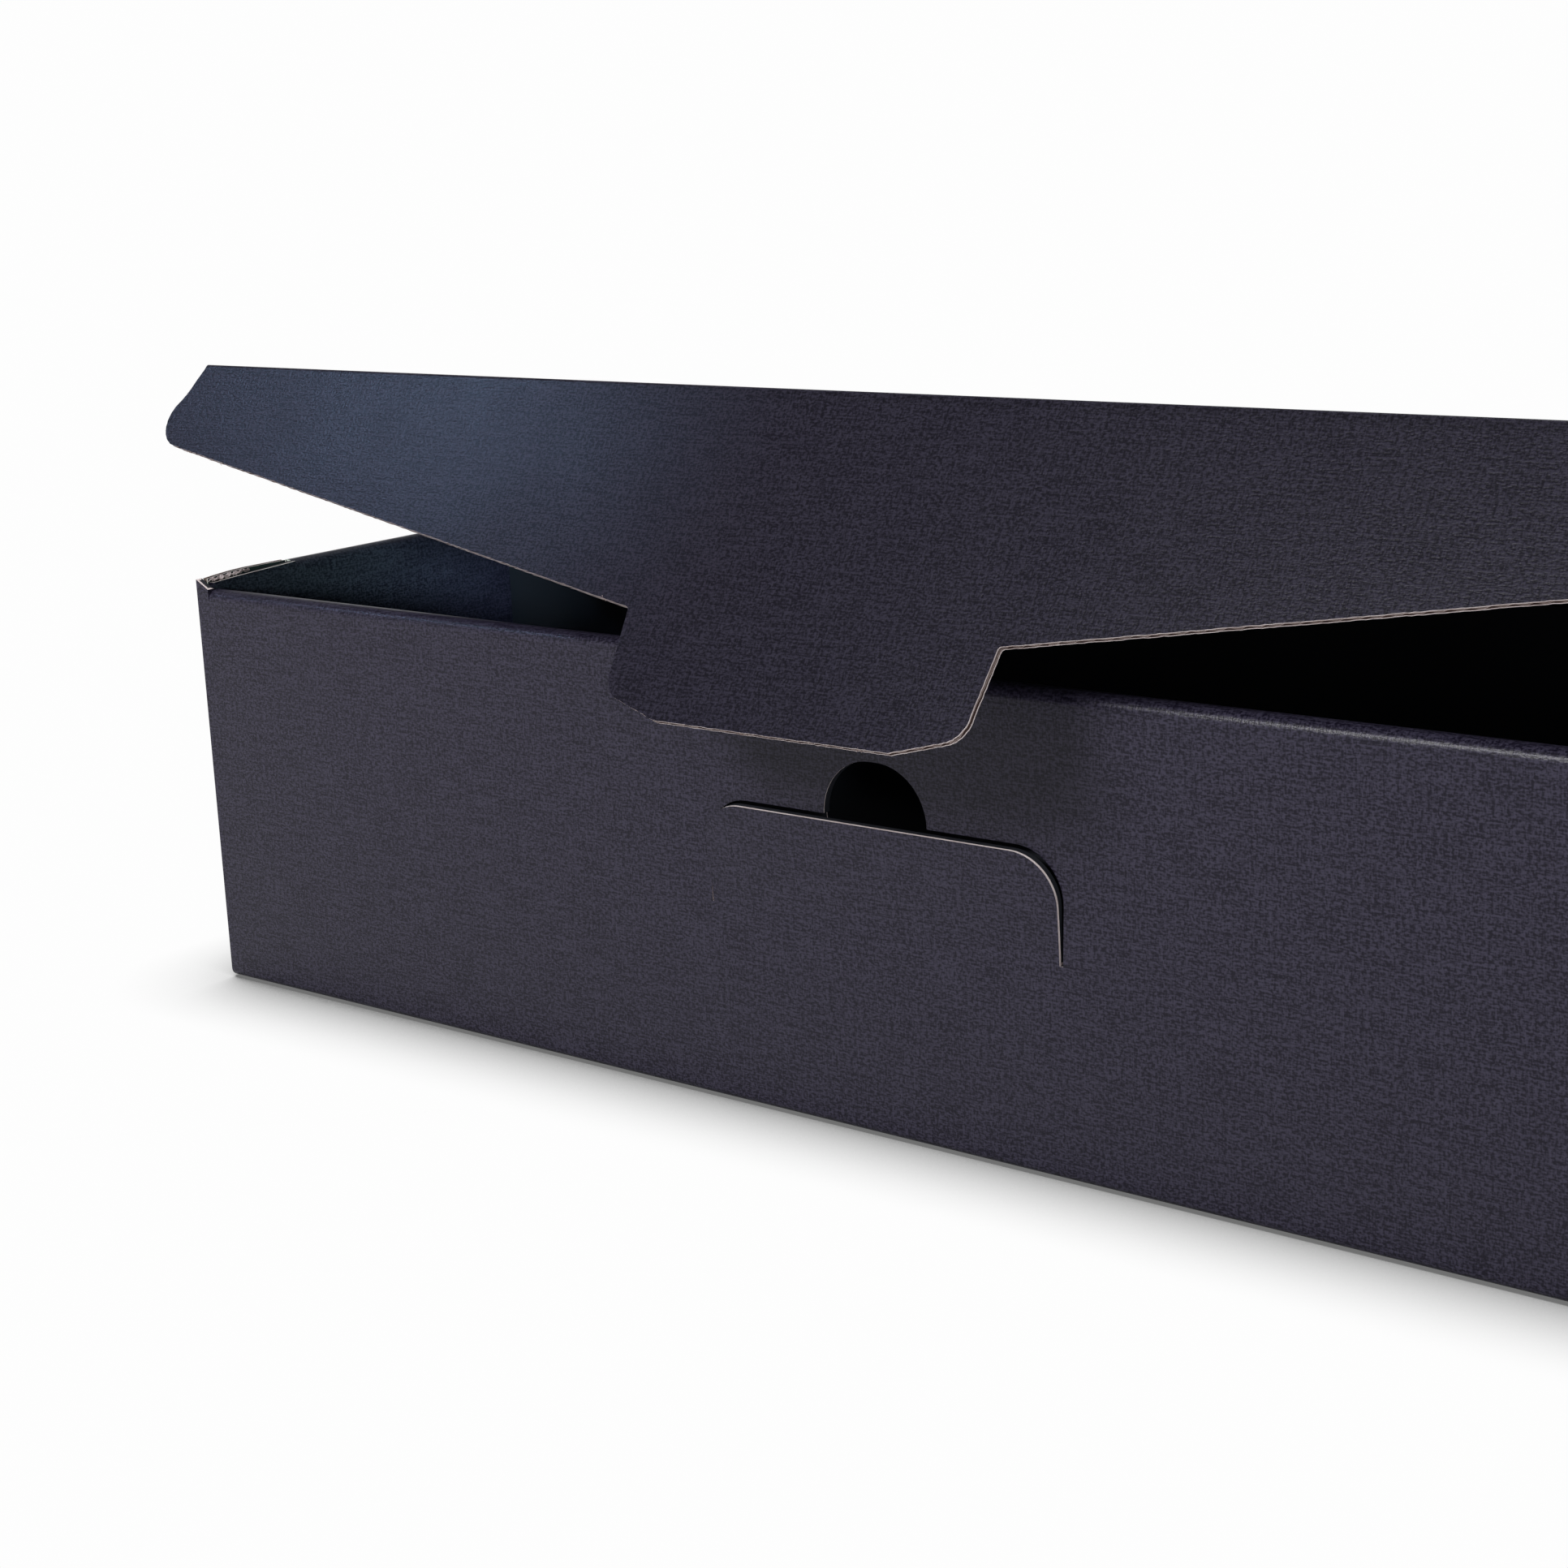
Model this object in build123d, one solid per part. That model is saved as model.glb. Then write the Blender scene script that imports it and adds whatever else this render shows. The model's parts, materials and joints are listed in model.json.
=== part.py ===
"""Bottle gift box: a long folding box of fine corrugated board, lying on its base with the lid half open.

One die-cut blank makes all of it. The tray has a rolled, double front wall with a U-slit closing tab and
a half-moon finger hole, rolled side walls and a single back wall. The lid turns on the back wall's
crease, and the closing flap with its tongue turns on the lid's front crease.

Millimetres. X runs along the box, +Y to the back, +Z up. The origin is the centre of the base's underside.
"""
import os
from math import cos, radians, sin, tan

from build123d import *

# Driving sizes of the folded box
box_length = 369.0
box_depth = 92.0
side_height = 91.0
front_height = 87.9
board = 1.6

# Folds and fits of the board
layer_play = 0.15
crease_inner_radius = 0.2
crease_gap = 0.2
roll_round_share = 0.9
cut_overrun = 5.0

# Side walls: the roll stops short of the front corner, where the raw edges show
roll_front_setback = 24.0
roll_back_setback = 6.0
raw_edge_drop = 0.2
bevel_drop = 0.8

# Front wall: the roll stops short of the corners, where the outer panel's raw edge slopes up
front_roll_setback = 4.5
corner_drop = 0.9

# Corner ears, tucked into the rolled walls
ear_length = 45.0
ear_clearance = 1.0
ear_taper = 6.0

# Locking tabs at the foot of the rolled panels, in slots of the base
lock_tab_width = 22.0
lock_tab_lift = 0.3
lock_slot_play = 0.3
panel_lift = 0.3
front_lock_shares = (-0.3, 0.0, 0.3)
side_lock_shares = (0.0,)

# Closing tab: U-slit and half-moon finger hole in the front wall
slit_half_width = 39.9
slit_foot_half_width = 39.2
slit_foot_height = 39.4
slit_top_height = 59.3
slit_corner_radius = 9.0
slit_kerf = 0.4
tab_spring = 1.8
moon_radius = 11.6
moon_margin = 1.5

# Lid
lid_inset = 1.8
lid_open_angle = 27.1

# Closing flap, measured down from its crease
flap_play = 0.4
flap_splay_angle = 6.4
flap_waist_flare = 2.7
flap_waist_depth = 6.8
flap_waist_radius = 14.0
flap_end_flare = 9.9
flap_end_depth = 17.1
flap_end_round_share = 0.76
shoulder_depth = 44.05
shoulder_radius = 0.8
tongue_root_half_width = 40.6
tongue_half_width = 39.2
tongue_corner_depth = 60.5
tongue_corner_radius = 5.0
tongue_tip_half_width = 25.8
tongue_tip_radius = 1.5
tongue_depth = 64.5

# Faces and middle planes of the walls
front_face = -box_depth / 2
back_face = box_depth / 2
side_face = box_length / 2
pocket = board + 2 * layer_play
rolled_width = 2 * board + pocket
front_mid = front_face + board / 2
front_inner_mid = front_face + rolled_width - board / 2
back_mid = back_face - board / 2
side_mid = side_face - board / 2
side_inner_mid = side_face - rolled_width + board / 2
base_mid = board / 2
panel_foot = board + panel_lift
crease_radius = board / 2 + crease_inner_radius
strip_half = side_mid - crease_radius - layer_play
panel_front = front_mid + crease_radius + layer_play
roll_radius = (pocket + board) / 2 * roll_round_share
roll_start = front_face + roll_front_setback
roll_end = back_face - roll_back_setback
raw_side_top = side_height - raw_edge_drop
front_roll_half = side_face - front_roll_setback
corner_top = side_height - corner_drop

# Crease axes, with the lid shut and the flap square to it
flap_gap = tab_spring + flap_play
hinge_y = back_mid
hinge_z = side_height + crease_gap + board / 2
fold_y = front_face - flap_gap - board / 2
lid_reach = hinge_y - fold_y
lid_half_width = side_face - lid_inset

hinge_axis = Axis((0, hinge_y, hinge_z), (1, 0, 0))
fold_axis = Axis((0, fold_y, hinge_z), (1, 0, 0))


def run_along_x(section, start, end):
    """Solid of a section drawn in (y, z), run along X."""
    plane = Plane(origin=(start, 0, 0), x_dir=(0, 1, 0), z_dir=(1, 0, 0))
    return extrude(plane * section, amount=end - start)


def run_along_y(section, start, end):
    """Solid of a section drawn in (x, z), run along Y."""
    plane = Plane(origin=(0, end, 0), x_dir=(1, 0, 0), z_dir=(0, -1, 0))
    return extrude(plane * section, amount=end - start)


def run_along_z(section, start, end):
    """Solid of a section drawn in (x, y), run along Z."""
    return extrude(Pos(0, 0, start) * section, amount=end - start)


def outline(points, radii=0):
    """Face inside a closed run of points, with its corners rounded."""
    return make_face(FilletPolyline(*points, radius=radii, close=True))


def rectangle(low, high):
    """Face between two opposite corners."""
    return outline([low, (high[0], low[1]), high, (low[0], high[1])])


def folded(points, radii):
    """Section of the board folded square along its middle line, with a bend at each inner point."""
    middle = [Vector(*point) for point in points]
    ways = [(end - start).normalized() for start, end in zip(middle, middle[1:])]
    across = [Vector(-way.Y, way.X) * board / 2 for way in ways]
    turns = [before.cross(after).Z for before, after in zip(ways, ways[1:])]
    skins = []
    for side in (1, -1):
        start = (middle[0] + across[0] * side, 0)
        corners = [(corner + (before + after) * side, bend - side * turn * board / 2)
                   for corner, before, after, bend, turn in zip(middle[1:], across, across[1:], radii, turns)]
        end = (middle[-1] + across[-1] * side, 0)
        skins.append([start, *corners, end])
    return outline(*zip(*skins[0], *reversed(skins[1])))


def both_ends(solid):
    """A piece of the left end together with its mirror image at the right end."""
    return solid + mirror(solid, about=Plane.YZ)


def front_to_back_strip():
    """Rolled front wall, base and back wall: one strip of board, with the front unrolled at its ends."""
    roll_mid = front_height - board / 2
    base_path = [(front_mid, base_mid), (back_mid, base_mid), (back_mid, side_height)]
    base_radii = [crease_radius, crease_radius]
    roll_path = [(front_inner_mid, panel_foot), (front_inner_mid, roll_mid), (front_mid, roll_mid)]
    rolled = folded(roll_path + base_path, [roll_radius, roll_radius, *base_radii])
    plain = folded([(front_mid, corner_top), *base_path], base_radii)
    strip = run_along_x(rolled, -front_roll_half, front_roll_half)
    return strip + both_ends(run_along_x(plain, front_roll_half, strip_half))


def front_wall_end():
    """The front wall's outer panel where it runs on past the roll to cover the side wall's edge."""
    path = [(front_mid, corner_top), (front_mid, base_mid), (panel_front, base_mid)]
    return run_along_x(folded(path, [crease_radius]), strip_half, side_face)


def corner_slope():
    """What is cut away above the raw edge that slopes from the front roll up to the corner."""
    above = corner_top + cut_overrun
    wedge = outline([(front_roll_half, front_height - raw_edge_drop), (side_face, corner_top),
                     (side_face, above), (front_roll_half, above)])
    return run_along_y(wedge, front_face - cut_overrun, front_face + board + layer_play / 2)


def side_wall():
    """A side wall: raw-topped at its ends, rolled over between them, with a tapered inner panel."""
    lip = (strip_half, base_mid)
    raw_path = [(side_mid, raw_side_top), (side_mid, base_mid), lip]
    raw_section = folded(raw_path, [crease_radius])
    roll_mid = side_height - board / 2
    roll_path = [(side_inner_mid, panel_foot), (side_inner_mid, roll_mid), (side_mid, roll_mid),
                 (side_mid, base_mid), lip]
    roll_section = folded(roll_path, [roll_radius, roll_radius, crease_radius])
    wall = run_along_y(roll_section, roll_start, roll_end)
    wall += run_along_y(raw_section, panel_front, roll_start)
    wall += run_along_y(raw_section, roll_end, back_face)
    inner_front = front_face + rolled_width + layer_play
    inner_back = back_face - board - layer_play
    for end, start in ((inner_front, roll_start), (inner_back, roll_end)):
        taper = outline([(start, panel_foot), (end, panel_foot), (end, raw_side_top - bevel_drop),
                         (start, raw_side_top)])
        wall += run_along_x(taper, side_inner_mid - board / 2, side_inner_mid + board / 2)
    return wall


def ear_outline(root, tip, wall_height):
    """A tucked ear's outline, narrower at its free end, from its root to its tip along the wall."""
    low = board + ear_clearance
    high = wall_height - rolled_width / 2 - ear_clearance
    return outline([(root, low), (tip, low + ear_taper), (tip, high - ear_taper), (root, high)])


def side_ears():
    """One end's ears: the side wall's in the front roll, and the back wall's in the side roll."""
    front_ear = run_along_y(ear_outline(side_face, side_face - ear_length, front_height),
                            front_face + board + layer_play, front_face + 2 * board + layer_play)
    back_ear = run_along_x(ear_outline(back_face, back_face - ear_length, side_height),
                           side_face - 2 * board - layer_play, side_face - board - layer_play)
    return front_ear + back_ear


def lock_places():
    """Middle and half sizes, in plan, of each locking tab."""
    half_width = lock_tab_width / 2
    front = [(share * box_length, front_inner_mid, half_width, board / 2) for share in front_lock_shares]
    sides = [(end * side_inner_mid, share * box_depth, board / 2, half_width)
             for end in (-1, 1) for share in side_lock_shares]
    return front + sides


def lock_block(place, play, low, high):
    """A locking tab, or with play the slot that takes it."""
    x, y, half_x, half_y = place
    plan = rectangle((x - half_x - play, y - half_y - play), (x + half_x + play, y + half_y + play))
    return run_along_z(plan, low, high)


def tab_outline(margin):
    """Outline of the closing tab, grown by a margin at its sides and top."""
    half, foot_half = slit_half_width + margin, slit_foot_half_width + margin
    foot, top = slit_foot_height, slit_top_height + margin
    radius = slit_corner_radius + margin
    return outline([(-foot_half, foot), (foot_half, foot), (half, top), (-half, top)], [0, 0, radius, radius])


def closing_tab():
    """The tab inside the U-slit, sprung forward from its foot."""
    lean = outline([(front_face, slit_foot_height), (front_face + board, slit_foot_height),
                    (front_face + board - tab_spring, slit_top_height),
                    (front_face - tab_spring, slit_top_height)])
    plate = run_along_x(lean, -slit_half_width, slit_half_width)
    return plate & run_along_y(tab_outline(0), front_face - cut_overrun, front_face + cut_overrun)


def finger_disc(radius):
    """Disc about the middle of the slit's top edge."""
    return Pos(0, slit_top_height) * Circle(radius)


def half_moon():
    """The part of the finger hole in the outer panel: a half-disc that stands on the slit's top edge."""
    above = rectangle((-moon_radius, slit_top_height), (moon_radius, slit_top_height + moon_radius))
    return finger_disc(moon_radius) & above


def folded_tray():
    """The tray with its ears tucked, its panels locked and its closing tab cut."""
    tray = front_to_back_strip()
    tray += both_ends(side_wall())
    tray += both_ends(front_wall_end())
    tray -= both_ends(corner_slope())
    tray += both_ends(side_ears())
    for place in lock_places():
        tray -= lock_block(place, lock_slot_play, -cut_overrun, panel_foot)
        tray += lock_block(place, 0, lock_tab_lift, panel_foot)
    outside = front_face - cut_overrun
    pocket_mid = front_face + rolled_width / 2
    inside = front_face + rolled_width + cut_overrun
    tray -= run_along_y(tab_outline(slit_kerf), outside, pocket_mid)
    tray -= run_along_y(half_moon(), outside, pocket_mid)
    tray -= run_along_y(finger_disc(moon_radius + moon_margin), pocket_mid, inside)
    return tray + closing_tab()


def lid_panel():
    """The lid shut, with its back edge rolled about the hinge crease."""
    front_edge = fold_y + board / 2 + crease_gap
    section = rectangle((front_edge, hinge_z - board / 2), (hinge_y, hinge_z + board / 2))
    section += Pos(hinge_y, hinge_z) * Circle(board / 2)
    return run_along_x(section, -lid_half_width, lid_half_width)


def flap_end_radius(waist, end, shoulder):
    """Radius that rounds a flap end over its share of the edge from the waist."""
    turn = (end - waist).get_angle(shoulder - end)
    return flap_end_round_share * (end - waist).length / tan(radians(turn) / 2)


def closing_flap():
    """The flap hanging square from the shut lid: flared ends, sloping shoulders and a tapered tongue."""
    waist = Vector(lid_half_width + flap_waist_flare, flap_waist_depth)
    end = Vector(lid_half_width + flap_end_flare, flap_end_depth)
    shoulder = Vector(tongue_root_half_width, shoulder_depth)
    corners = [
        (Vector(lid_half_width, 0), 0),
        (waist, flap_waist_radius),
        (end, flap_end_radius(waist, end, shoulder)),
        (shoulder, shoulder_radius),
        (Vector(tongue_half_width, tongue_corner_depth), tongue_corner_radius),
        (Vector(tongue_tip_half_width, tongue_depth), tongue_tip_radius),
    ]
    right = [((corner.X, hinge_z - corner.Y), radius) for corner, radius in corners]
    left = [((-x, z), radius) for (x, z), radius in reversed(right)]
    flap = run_along_y(outline(*zip(*right, *left)), fold_y - board / 2, fold_y + board / 2)
    crease = Pos(fold_y, hinge_z) * Circle(board / 2)
    return flap + run_along_x(crease, -lid_half_width, lid_half_width)


def opened(solid):
    """A piece of the lid as it stands at rest, turned up about the hinge crease."""
    return solid.rotate(hinge_axis, -lid_open_angle)


def main():
    """Build the three folded panels at rest and write them out."""
    nodes = {
        "folded_tray": folded_tray(),
        "lid_panel": opened(lid_panel()),
        "closing_flap": opened(closing_flap().rotate(fold_axis, -flap_splay_angle)),
    }
    os.makedirs("parts", exist_ok=True)
    for name, solid in nodes.items():
        export_step(solid, f"parts/{name}.step")
    rise = radians(lid_open_angle)
    rest_fold = (hinge_y - lid_reach * cos(rise), hinge_z + lid_reach * sin(rise))
    print(f"lid hinge at y {hinge_y:.3f}, z {hinge_z:.3f}")
    print(f"flap crease at y {rest_fold[0]:.3f}, z {rest_fold[1]:.3f}")


main()
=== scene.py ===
"""Looks of the bottle gift box: fine fluted board, linen-embossed dark outside, with pale cut edges.

The sheets are drawn as their printed faces, folded, pierced and thickened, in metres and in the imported
model's frame: X along the box, +Y to the back, +Z up, with the origin at the middle of the base.
"""

from __future__ import annotations

import json
import logging
import math
import random
from dataclasses import dataclass, field
from enum import Enum, IntEnum
from typing import Any, Callable, Iterable, Sequence

import bmesh
import bpy
from bmesh.types import BMEdge, BMesh, BMFace, BMVert
from mathutils import Matrix, Vector

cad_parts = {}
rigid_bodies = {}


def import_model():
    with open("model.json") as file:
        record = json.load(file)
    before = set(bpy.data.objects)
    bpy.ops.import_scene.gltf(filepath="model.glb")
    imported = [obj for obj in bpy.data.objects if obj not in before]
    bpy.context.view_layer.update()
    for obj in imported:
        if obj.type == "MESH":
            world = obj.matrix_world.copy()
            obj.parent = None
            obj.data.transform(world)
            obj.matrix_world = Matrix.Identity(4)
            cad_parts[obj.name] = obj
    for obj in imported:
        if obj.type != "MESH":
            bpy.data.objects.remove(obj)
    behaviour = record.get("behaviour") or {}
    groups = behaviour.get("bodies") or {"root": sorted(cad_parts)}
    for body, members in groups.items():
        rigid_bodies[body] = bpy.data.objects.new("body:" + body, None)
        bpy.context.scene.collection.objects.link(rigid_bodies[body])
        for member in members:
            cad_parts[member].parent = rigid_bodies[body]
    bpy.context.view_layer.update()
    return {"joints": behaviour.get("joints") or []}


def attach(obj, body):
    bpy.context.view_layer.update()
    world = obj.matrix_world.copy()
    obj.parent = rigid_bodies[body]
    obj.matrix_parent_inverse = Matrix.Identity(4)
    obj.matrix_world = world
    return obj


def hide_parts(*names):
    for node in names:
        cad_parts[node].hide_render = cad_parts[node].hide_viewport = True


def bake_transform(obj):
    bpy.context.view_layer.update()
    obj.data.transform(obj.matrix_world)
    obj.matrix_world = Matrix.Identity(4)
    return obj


LOG = logging.getLogger("bottle_gift_box")
MM = 0.001
NEAR = 1e-6
SEED = 7
ALONG, BACK, UP = Vector((1.0, 0.0, 0.0)), Vector((0.0, 1.0, 0.0)), Vector((0.0, 0.0, 1.0))
Placing = Callable[[float, float], Vector]
Line = Sequence[tuple[float, float]]
Triple = tuple[float, float, float]


class End(Enum):
    """The two ends of the box, by the sign of X."""

    LEFT = -1
    RIGHT = 1


class Skin(IntEnum):
    """The finishes that a sheet's faces take, in the order of its material slots."""

    PRINT = 0
    LINER = 1
    CUT = 2
    # Painted shade for the hollow between the liners of a cut edge.
    GROOVE = 3


class Edge(IntEnum):
    """How a cut edge is finished: OPEN shows its liners and flutes, PALE and DARK a wide or thin pale lip
    with painted shade over the rest, INKED the print.
    """

    OPEN = 0
    PALE = 1
    DARK = 2
    INKED = 3


# Shader tools


class Flow:
    """A number flowing through a material, so that its maths reads as plain Python."""

    def __init__(self, bench: NodeBench, socket: bpy.types.NodeSocket) -> None:
        """Wrap one output socket."""
        self.bench = bench
        self.socket = socket

    def _math(self, operation: str, first: Any, second: Any) -> Flow:
        """Add one Math node.

        Args:
            operation: The node's operation.
            first: A flow or a number.
            second: A flow or a number.

        Returns:
            The node's result.
        """
        node = self.bench.node("ShaderNodeMath", {"operation": operation}, {0: first, 1: second})
        return Flow(self.bench, node.outputs[0])

    def __add__(self, other: Any) -> Flow:
        """Sum."""
        return self._math("ADD", self, other)

    def __sub__(self, other: Any) -> Flow:
        """Difference."""
        return self._math("SUBTRACT", self, other)

    def __mul__(self, other: Any) -> Flow:
        """Product."""
        return self._math("MULTIPLY", self, other)

    def at_most(self, limit: Any) -> Flow:
        """The smaller of the flow and a limit."""
        return self._math("MINIMUM", self, limit)

    def at_least(self, limit: Any) -> Flow:
        """The larger of the flow and a limit."""
        return self._math("MAXIMUM", self, limit)


class NodeBench:
    """A material's or a world's node tree, laid out node by node."""

    def __init__(self, owner: bpy.types.Material | bpy.types.World) -> None:
        """Start an empty tree on a material or a world."""
        owner.use_nodes = True
        self.tree = owner.node_tree
        self.tree.nodes.clear()

    def node(self, kind: str, settings: dict[str, Any] | None = None,
             inputs: dict[int | str, Any] | None = None) -> bpy.types.Node:
        """Add a node.

        Args:
            kind: The node's type.
            settings: Its properties, set first; "stops" holds a ramp's places and colours.
            inputs: Values, flows or sockets for its input sockets, by name or number.

        Returns:
            The node.
        """
        made = self.tree.nodes.new(kind)
        for name, value in (settings or {}).items():
            if name == "stops":
                self._set_stops(made.color_ramp, value)
            else:
                setattr(made, name, value)
        for key, value in (inputs or {}).items():
            source = value.socket if isinstance(value, Flow) else value
            if isinstance(source, bpy.types.NodeSocket):
                self.tree.links.new(source, made.inputs[key])
            else:
                made.inputs[key].default_value = source
        return made

    @staticmethod
    def _set_stops(ramp: bpy.types.ColorRamp, stops: Sequence[tuple[float, tuple[float, ...]]]) -> None:
        """Give a ramp its stops."""
        while len(ramp.elements) < len(stops):
            ramp.elements.new(1.0)
        for element, (place, colour) in zip(ramp.elements, stops):
            element.position = place
            element.color = colour

    def flow(self, kind: str, settings: dict[str, Any] | None = None,
             inputs: dict[int | str, Any] | None = None, output: int | str = 0) -> Flow:
        """Add a node and take one of its outputs as a flow."""
        return Flow(self, self.node(kind, settings, inputs).outputs[output])

    def noise(self, where: Flow, stretch: Triple, detail: float = 2.0) -> Flow:
        """Noise on stretched coordinates.

        Args:
            where: The coordinates, in metres.
            stretch: Features per metre along each axis.
            detail: The noise's octaves.

        Returns:
            The noise, from 0 to 1.
        """
        scaled = self.flow("ShaderNodeVectorMath", {"operation": "MULTIPLY"}, {0: where, 1: stretch})
        return self.flow("ShaderNodeTexNoise", {"noise_dimensions": "3D"},
                         {"Vector": scaled, "Scale": 1.0, "Detail": detail}, "Fac")

    def mix(self, share: Flow | float, first: Any, second: Any) -> Flow:
        """Mix two colours by a share."""
        settings = {"data_type": "RGBA"}
        return self.flow("ShaderNodeMix", settings, {"Factor": share, 6: first, 7: second}, 2)

    def seen(self) -> Flow:
        """One for rays that show a surface in the picture, straight, mirrored or through glass."""
        path = self.node("ShaderNodeLightPath")
        straight, mirrored, through = (Flow(self, path.outputs[f"Is {kind} Ray"])
                                       for kind in ("Camera", "Glossy", "Transmission"))
        return straight.at_least(mirrored).at_least(through)

    def swap_when_seen(self, lit: bpy.types.Node, shown: bpy.types.Node) -> bpy.types.Node:
        """Show one shader in the picture and light the scene with another."""
        return self.node("ShaderNodeMixShader", {}, {0: self.seen(), 1: lit.outputs[0], 2: shown.outputs[0]})

    def surface(self, shader: bpy.types.Node) -> None:
        """Join a shader to the material's output."""
        self.node("ShaderNodeOutputMaterial", {}, {"Surface": shader.outputs[0]})

    def paper(self, colour: Flow, roughness: Flow | float, shine: float, height: Flow, relief: float) -> None:
        """Make the material a paper surface.

        Args:
            colour: Its colour.
            roughness: Its roughness.
            shine: How strongly it mirrors.
            height: Its relief, from 0 to 1.
            relief: How deep the relief is, in metres.
        """
        bump = self.node("ShaderNodeBump", {}, {"Strength": 1.0, "Distance": relief, "Height": height})
        self.surface(self.node("ShaderNodeBsdfPrincipled", {}, {
            "Base Color": colour, "Roughness": roughness, "Specular IOR Level": shine,
            "Normal": bump.outputs[0]}))


# Finishes


def opaque(colour: Triple) -> tuple[float, float, float, float]:
    """A colour with full alpha."""
    return (*colour, 1.0)


@dataclass(frozen=True)
class Finish:
    """A finish of the board."""

    name: str

    def material(self) -> bpy.types.Material:
        """Make the finish's material.

        Returns:
            The material.
        """
        made = bpy.data.materials.new(self.name)
        self.dress(NodeBench(made))
        return made

    def dress(self, bench: NodeBench) -> None:
        """Lay out the finish's nodes."""
        raise NotImplementedError


@dataclass(frozen=True)
class LinenPrint(Finish):
    """The printed side: dark navy-black, embossed with the threads of a coarse linen, with the raised threads
    painted lighter as a painted highlight.
    """

    name: str = "linen_print"
    colour: Triple = (0.0055, 0.0044, 0.0100)
    raised_thread_highlight: Triple = (0.0285, 0.0255, 0.0425)
    threads_per_metre: float = 2900.0
    dashes_per_metre: float = 1150.0
    slubs_per_metre: float = 1800.0
    slub_runs_per_metre: float = 105.0
    weft_share: float = 0.42
    warp_share: float = 0.31
    long_weft_share: float = 0.16
    long_warp_share: float = 0.11
    contrast: float = 7.5
    cover: float = 0.46
    emboss: float = 0.11 * MM
    clouds_per_metre: float = 55.0
    roughness: float = 0.32
    roughness_spread: float = 0.10
    shine: float = 0.17

    def dress(self, bench: NodeBench) -> None:
        """Lay out the threads, their colours and their relief."""
        where = bench.flow("ShaderNodeUVMap", {"uv_map": "blank"})
        weft = bench.noise(where, (self.dashes_per_metre, self.threads_per_metre, 1.0), detail=1.0)
        warp = bench.noise(where, (self.threads_per_metre, self.dashes_per_metre, 1.0), detail=1.0)
        long_weft = bench.noise(where, (self.slub_runs_per_metre, self.slubs_per_metre, 1.0), detail=1.0)
        long_warp = bench.noise(where, (self.slubs_per_metre, self.slub_runs_per_metre, 1.0), detail=1.0)
        threads = (weft * self.weft_share + warp * self.warp_share
                   + long_weft * self.long_weft_share + long_warp * self.long_warp_share)
        # The raised threads are painted lighter: a painted highlight where light catches the emboss, besides
        # the real relief.
        shade = ((threads - 0.5) * self.contrast + self.cover).at_least(0.0).at_most(1.0)
        colour = bench.mix(shade, opaque(self.colour), opaque(self.raised_thread_highlight))
        cloud = bench.noise(where, (self.clouds_per_metre, self.clouds_per_metre, 1.0), detail=3.0)
        roughness = (cloud - 0.5) * self.roughness_spread + self.roughness
        bench.paper(colour, roughness, self.shine, threads, self.emboss)


@dataclass(frozen=True)
class InnerLiner(Finish):
    """The unprinted side: plain dark paper, faintly cloudy and fibrous."""

    name: str = "inner_liner"
    colour: Triple = (0.0135, 0.0145, 0.0180)
    cloud_gain: float = 1.6
    clouds_per_metre: float = 40.0
    fibres_per_metre: float = 900.0
    fibre_relief: float = 0.006 * MM
    roughness: float = 0.5
    roughness_spread: float = 0.14
    shine: float = 0.06

    def dress(self, bench: NodeBench) -> None:
        """Lay out the clouds and the fibres."""
        where = bench.flow("ShaderNodeUVMap", {"uv_map": "blank"})
        fibre = bench.noise(where, (self.fibres_per_metre,) * 3, detail=3.0)
        cloud = bench.noise(where, (self.clouds_per_metre, self.clouds_per_metre, 1.0))
        light = tuple(self.cloud_gain * part for part in self.colour)
        colour = bench.mix(cloud, opaque(self.colour), opaque(light))
        roughness = (fibre - 0.5) * self.roughness_spread + self.roughness
        bench.paper(colour, roughness, self.shine, fibre, self.fibre_relief)


@dataclass(frozen=True)
class CutPaper(Finish):
    """Paper where the knife cut it: fibrous and rough; paler than either face, except the groove's copy,
    which is a dark painted shade.
    """

    colour: Triple
    fibre_colour: Triple
    fibres_per_metre: float = 2600.0
    fibre_share: float = 0.55
    blotches_per_metre: float = 260.0
    blotch_share: float = 0.75
    cover_drop: float = 0.3
    contrast: float = 1.6
    relief: float = 0.03 * MM
    roughness: float = 0.85
    shine: float = 0.2

    def dress(self, bench: NodeBench) -> None:
        """Lay out the blotches and the fibres."""
        where = bench.flow("ShaderNodeTexCoord", {}, {}, "Object")
        fibre = bench.noise(where, (self.fibres_per_metre,) * 3)
        blotch = bench.noise(where, (self.blotches_per_metre,) * 3)
        pale = fibre * self.fibre_share + blotch * self.blotch_share - self.cover_drop
        share = (pale * self.contrast).at_least(0.0).at_most(1.0)
        colour = bench.mix(share, opaque(self.colour), opaque(self.fibre_colour))
        bench.paper(colour, self.roughness, self.shine, fibre, self.relief)


# Sheets of board


@dataclass(frozen=True)
class Board:
    """The fluted board's make-up."""

    thickness: float = 1.6 * MM
    liner: float = 0.3 * MM
    groove: float = 0.9 * MM
    medium: float = 0.14 * MM
    flute_pitch: float = 3.2 * MM
    flute_step: float = 0.4 * MM
    flute_setback: float = 0.08 * MM
    pale_lip: float = 0.5 * MM
    dark_lip: float = 0.12 * MM

    @property
    def flute_reach(self) -> float:
        """How far the medium swings from the board's middle."""
        return self.thickness / 2 - self.liner - self.medium / 2


@dataclass(frozen=True)
class Corner:
    """A corner of an outline, with its rounding."""

    across: float
    up: float
    radius: float = 0.0


def oblong(across: float, up: float, wide: float, high: float, radius: float = 0.0) -> list[Corner]:
    """The corners of an oblong, from its middle and half sizes."""
    signs = ((-1, -1), (1, -1), (1, 1), (-1, 1))
    return [Corner(across + right * wide, up + top * high, radius) for right, top in signs]


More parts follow.
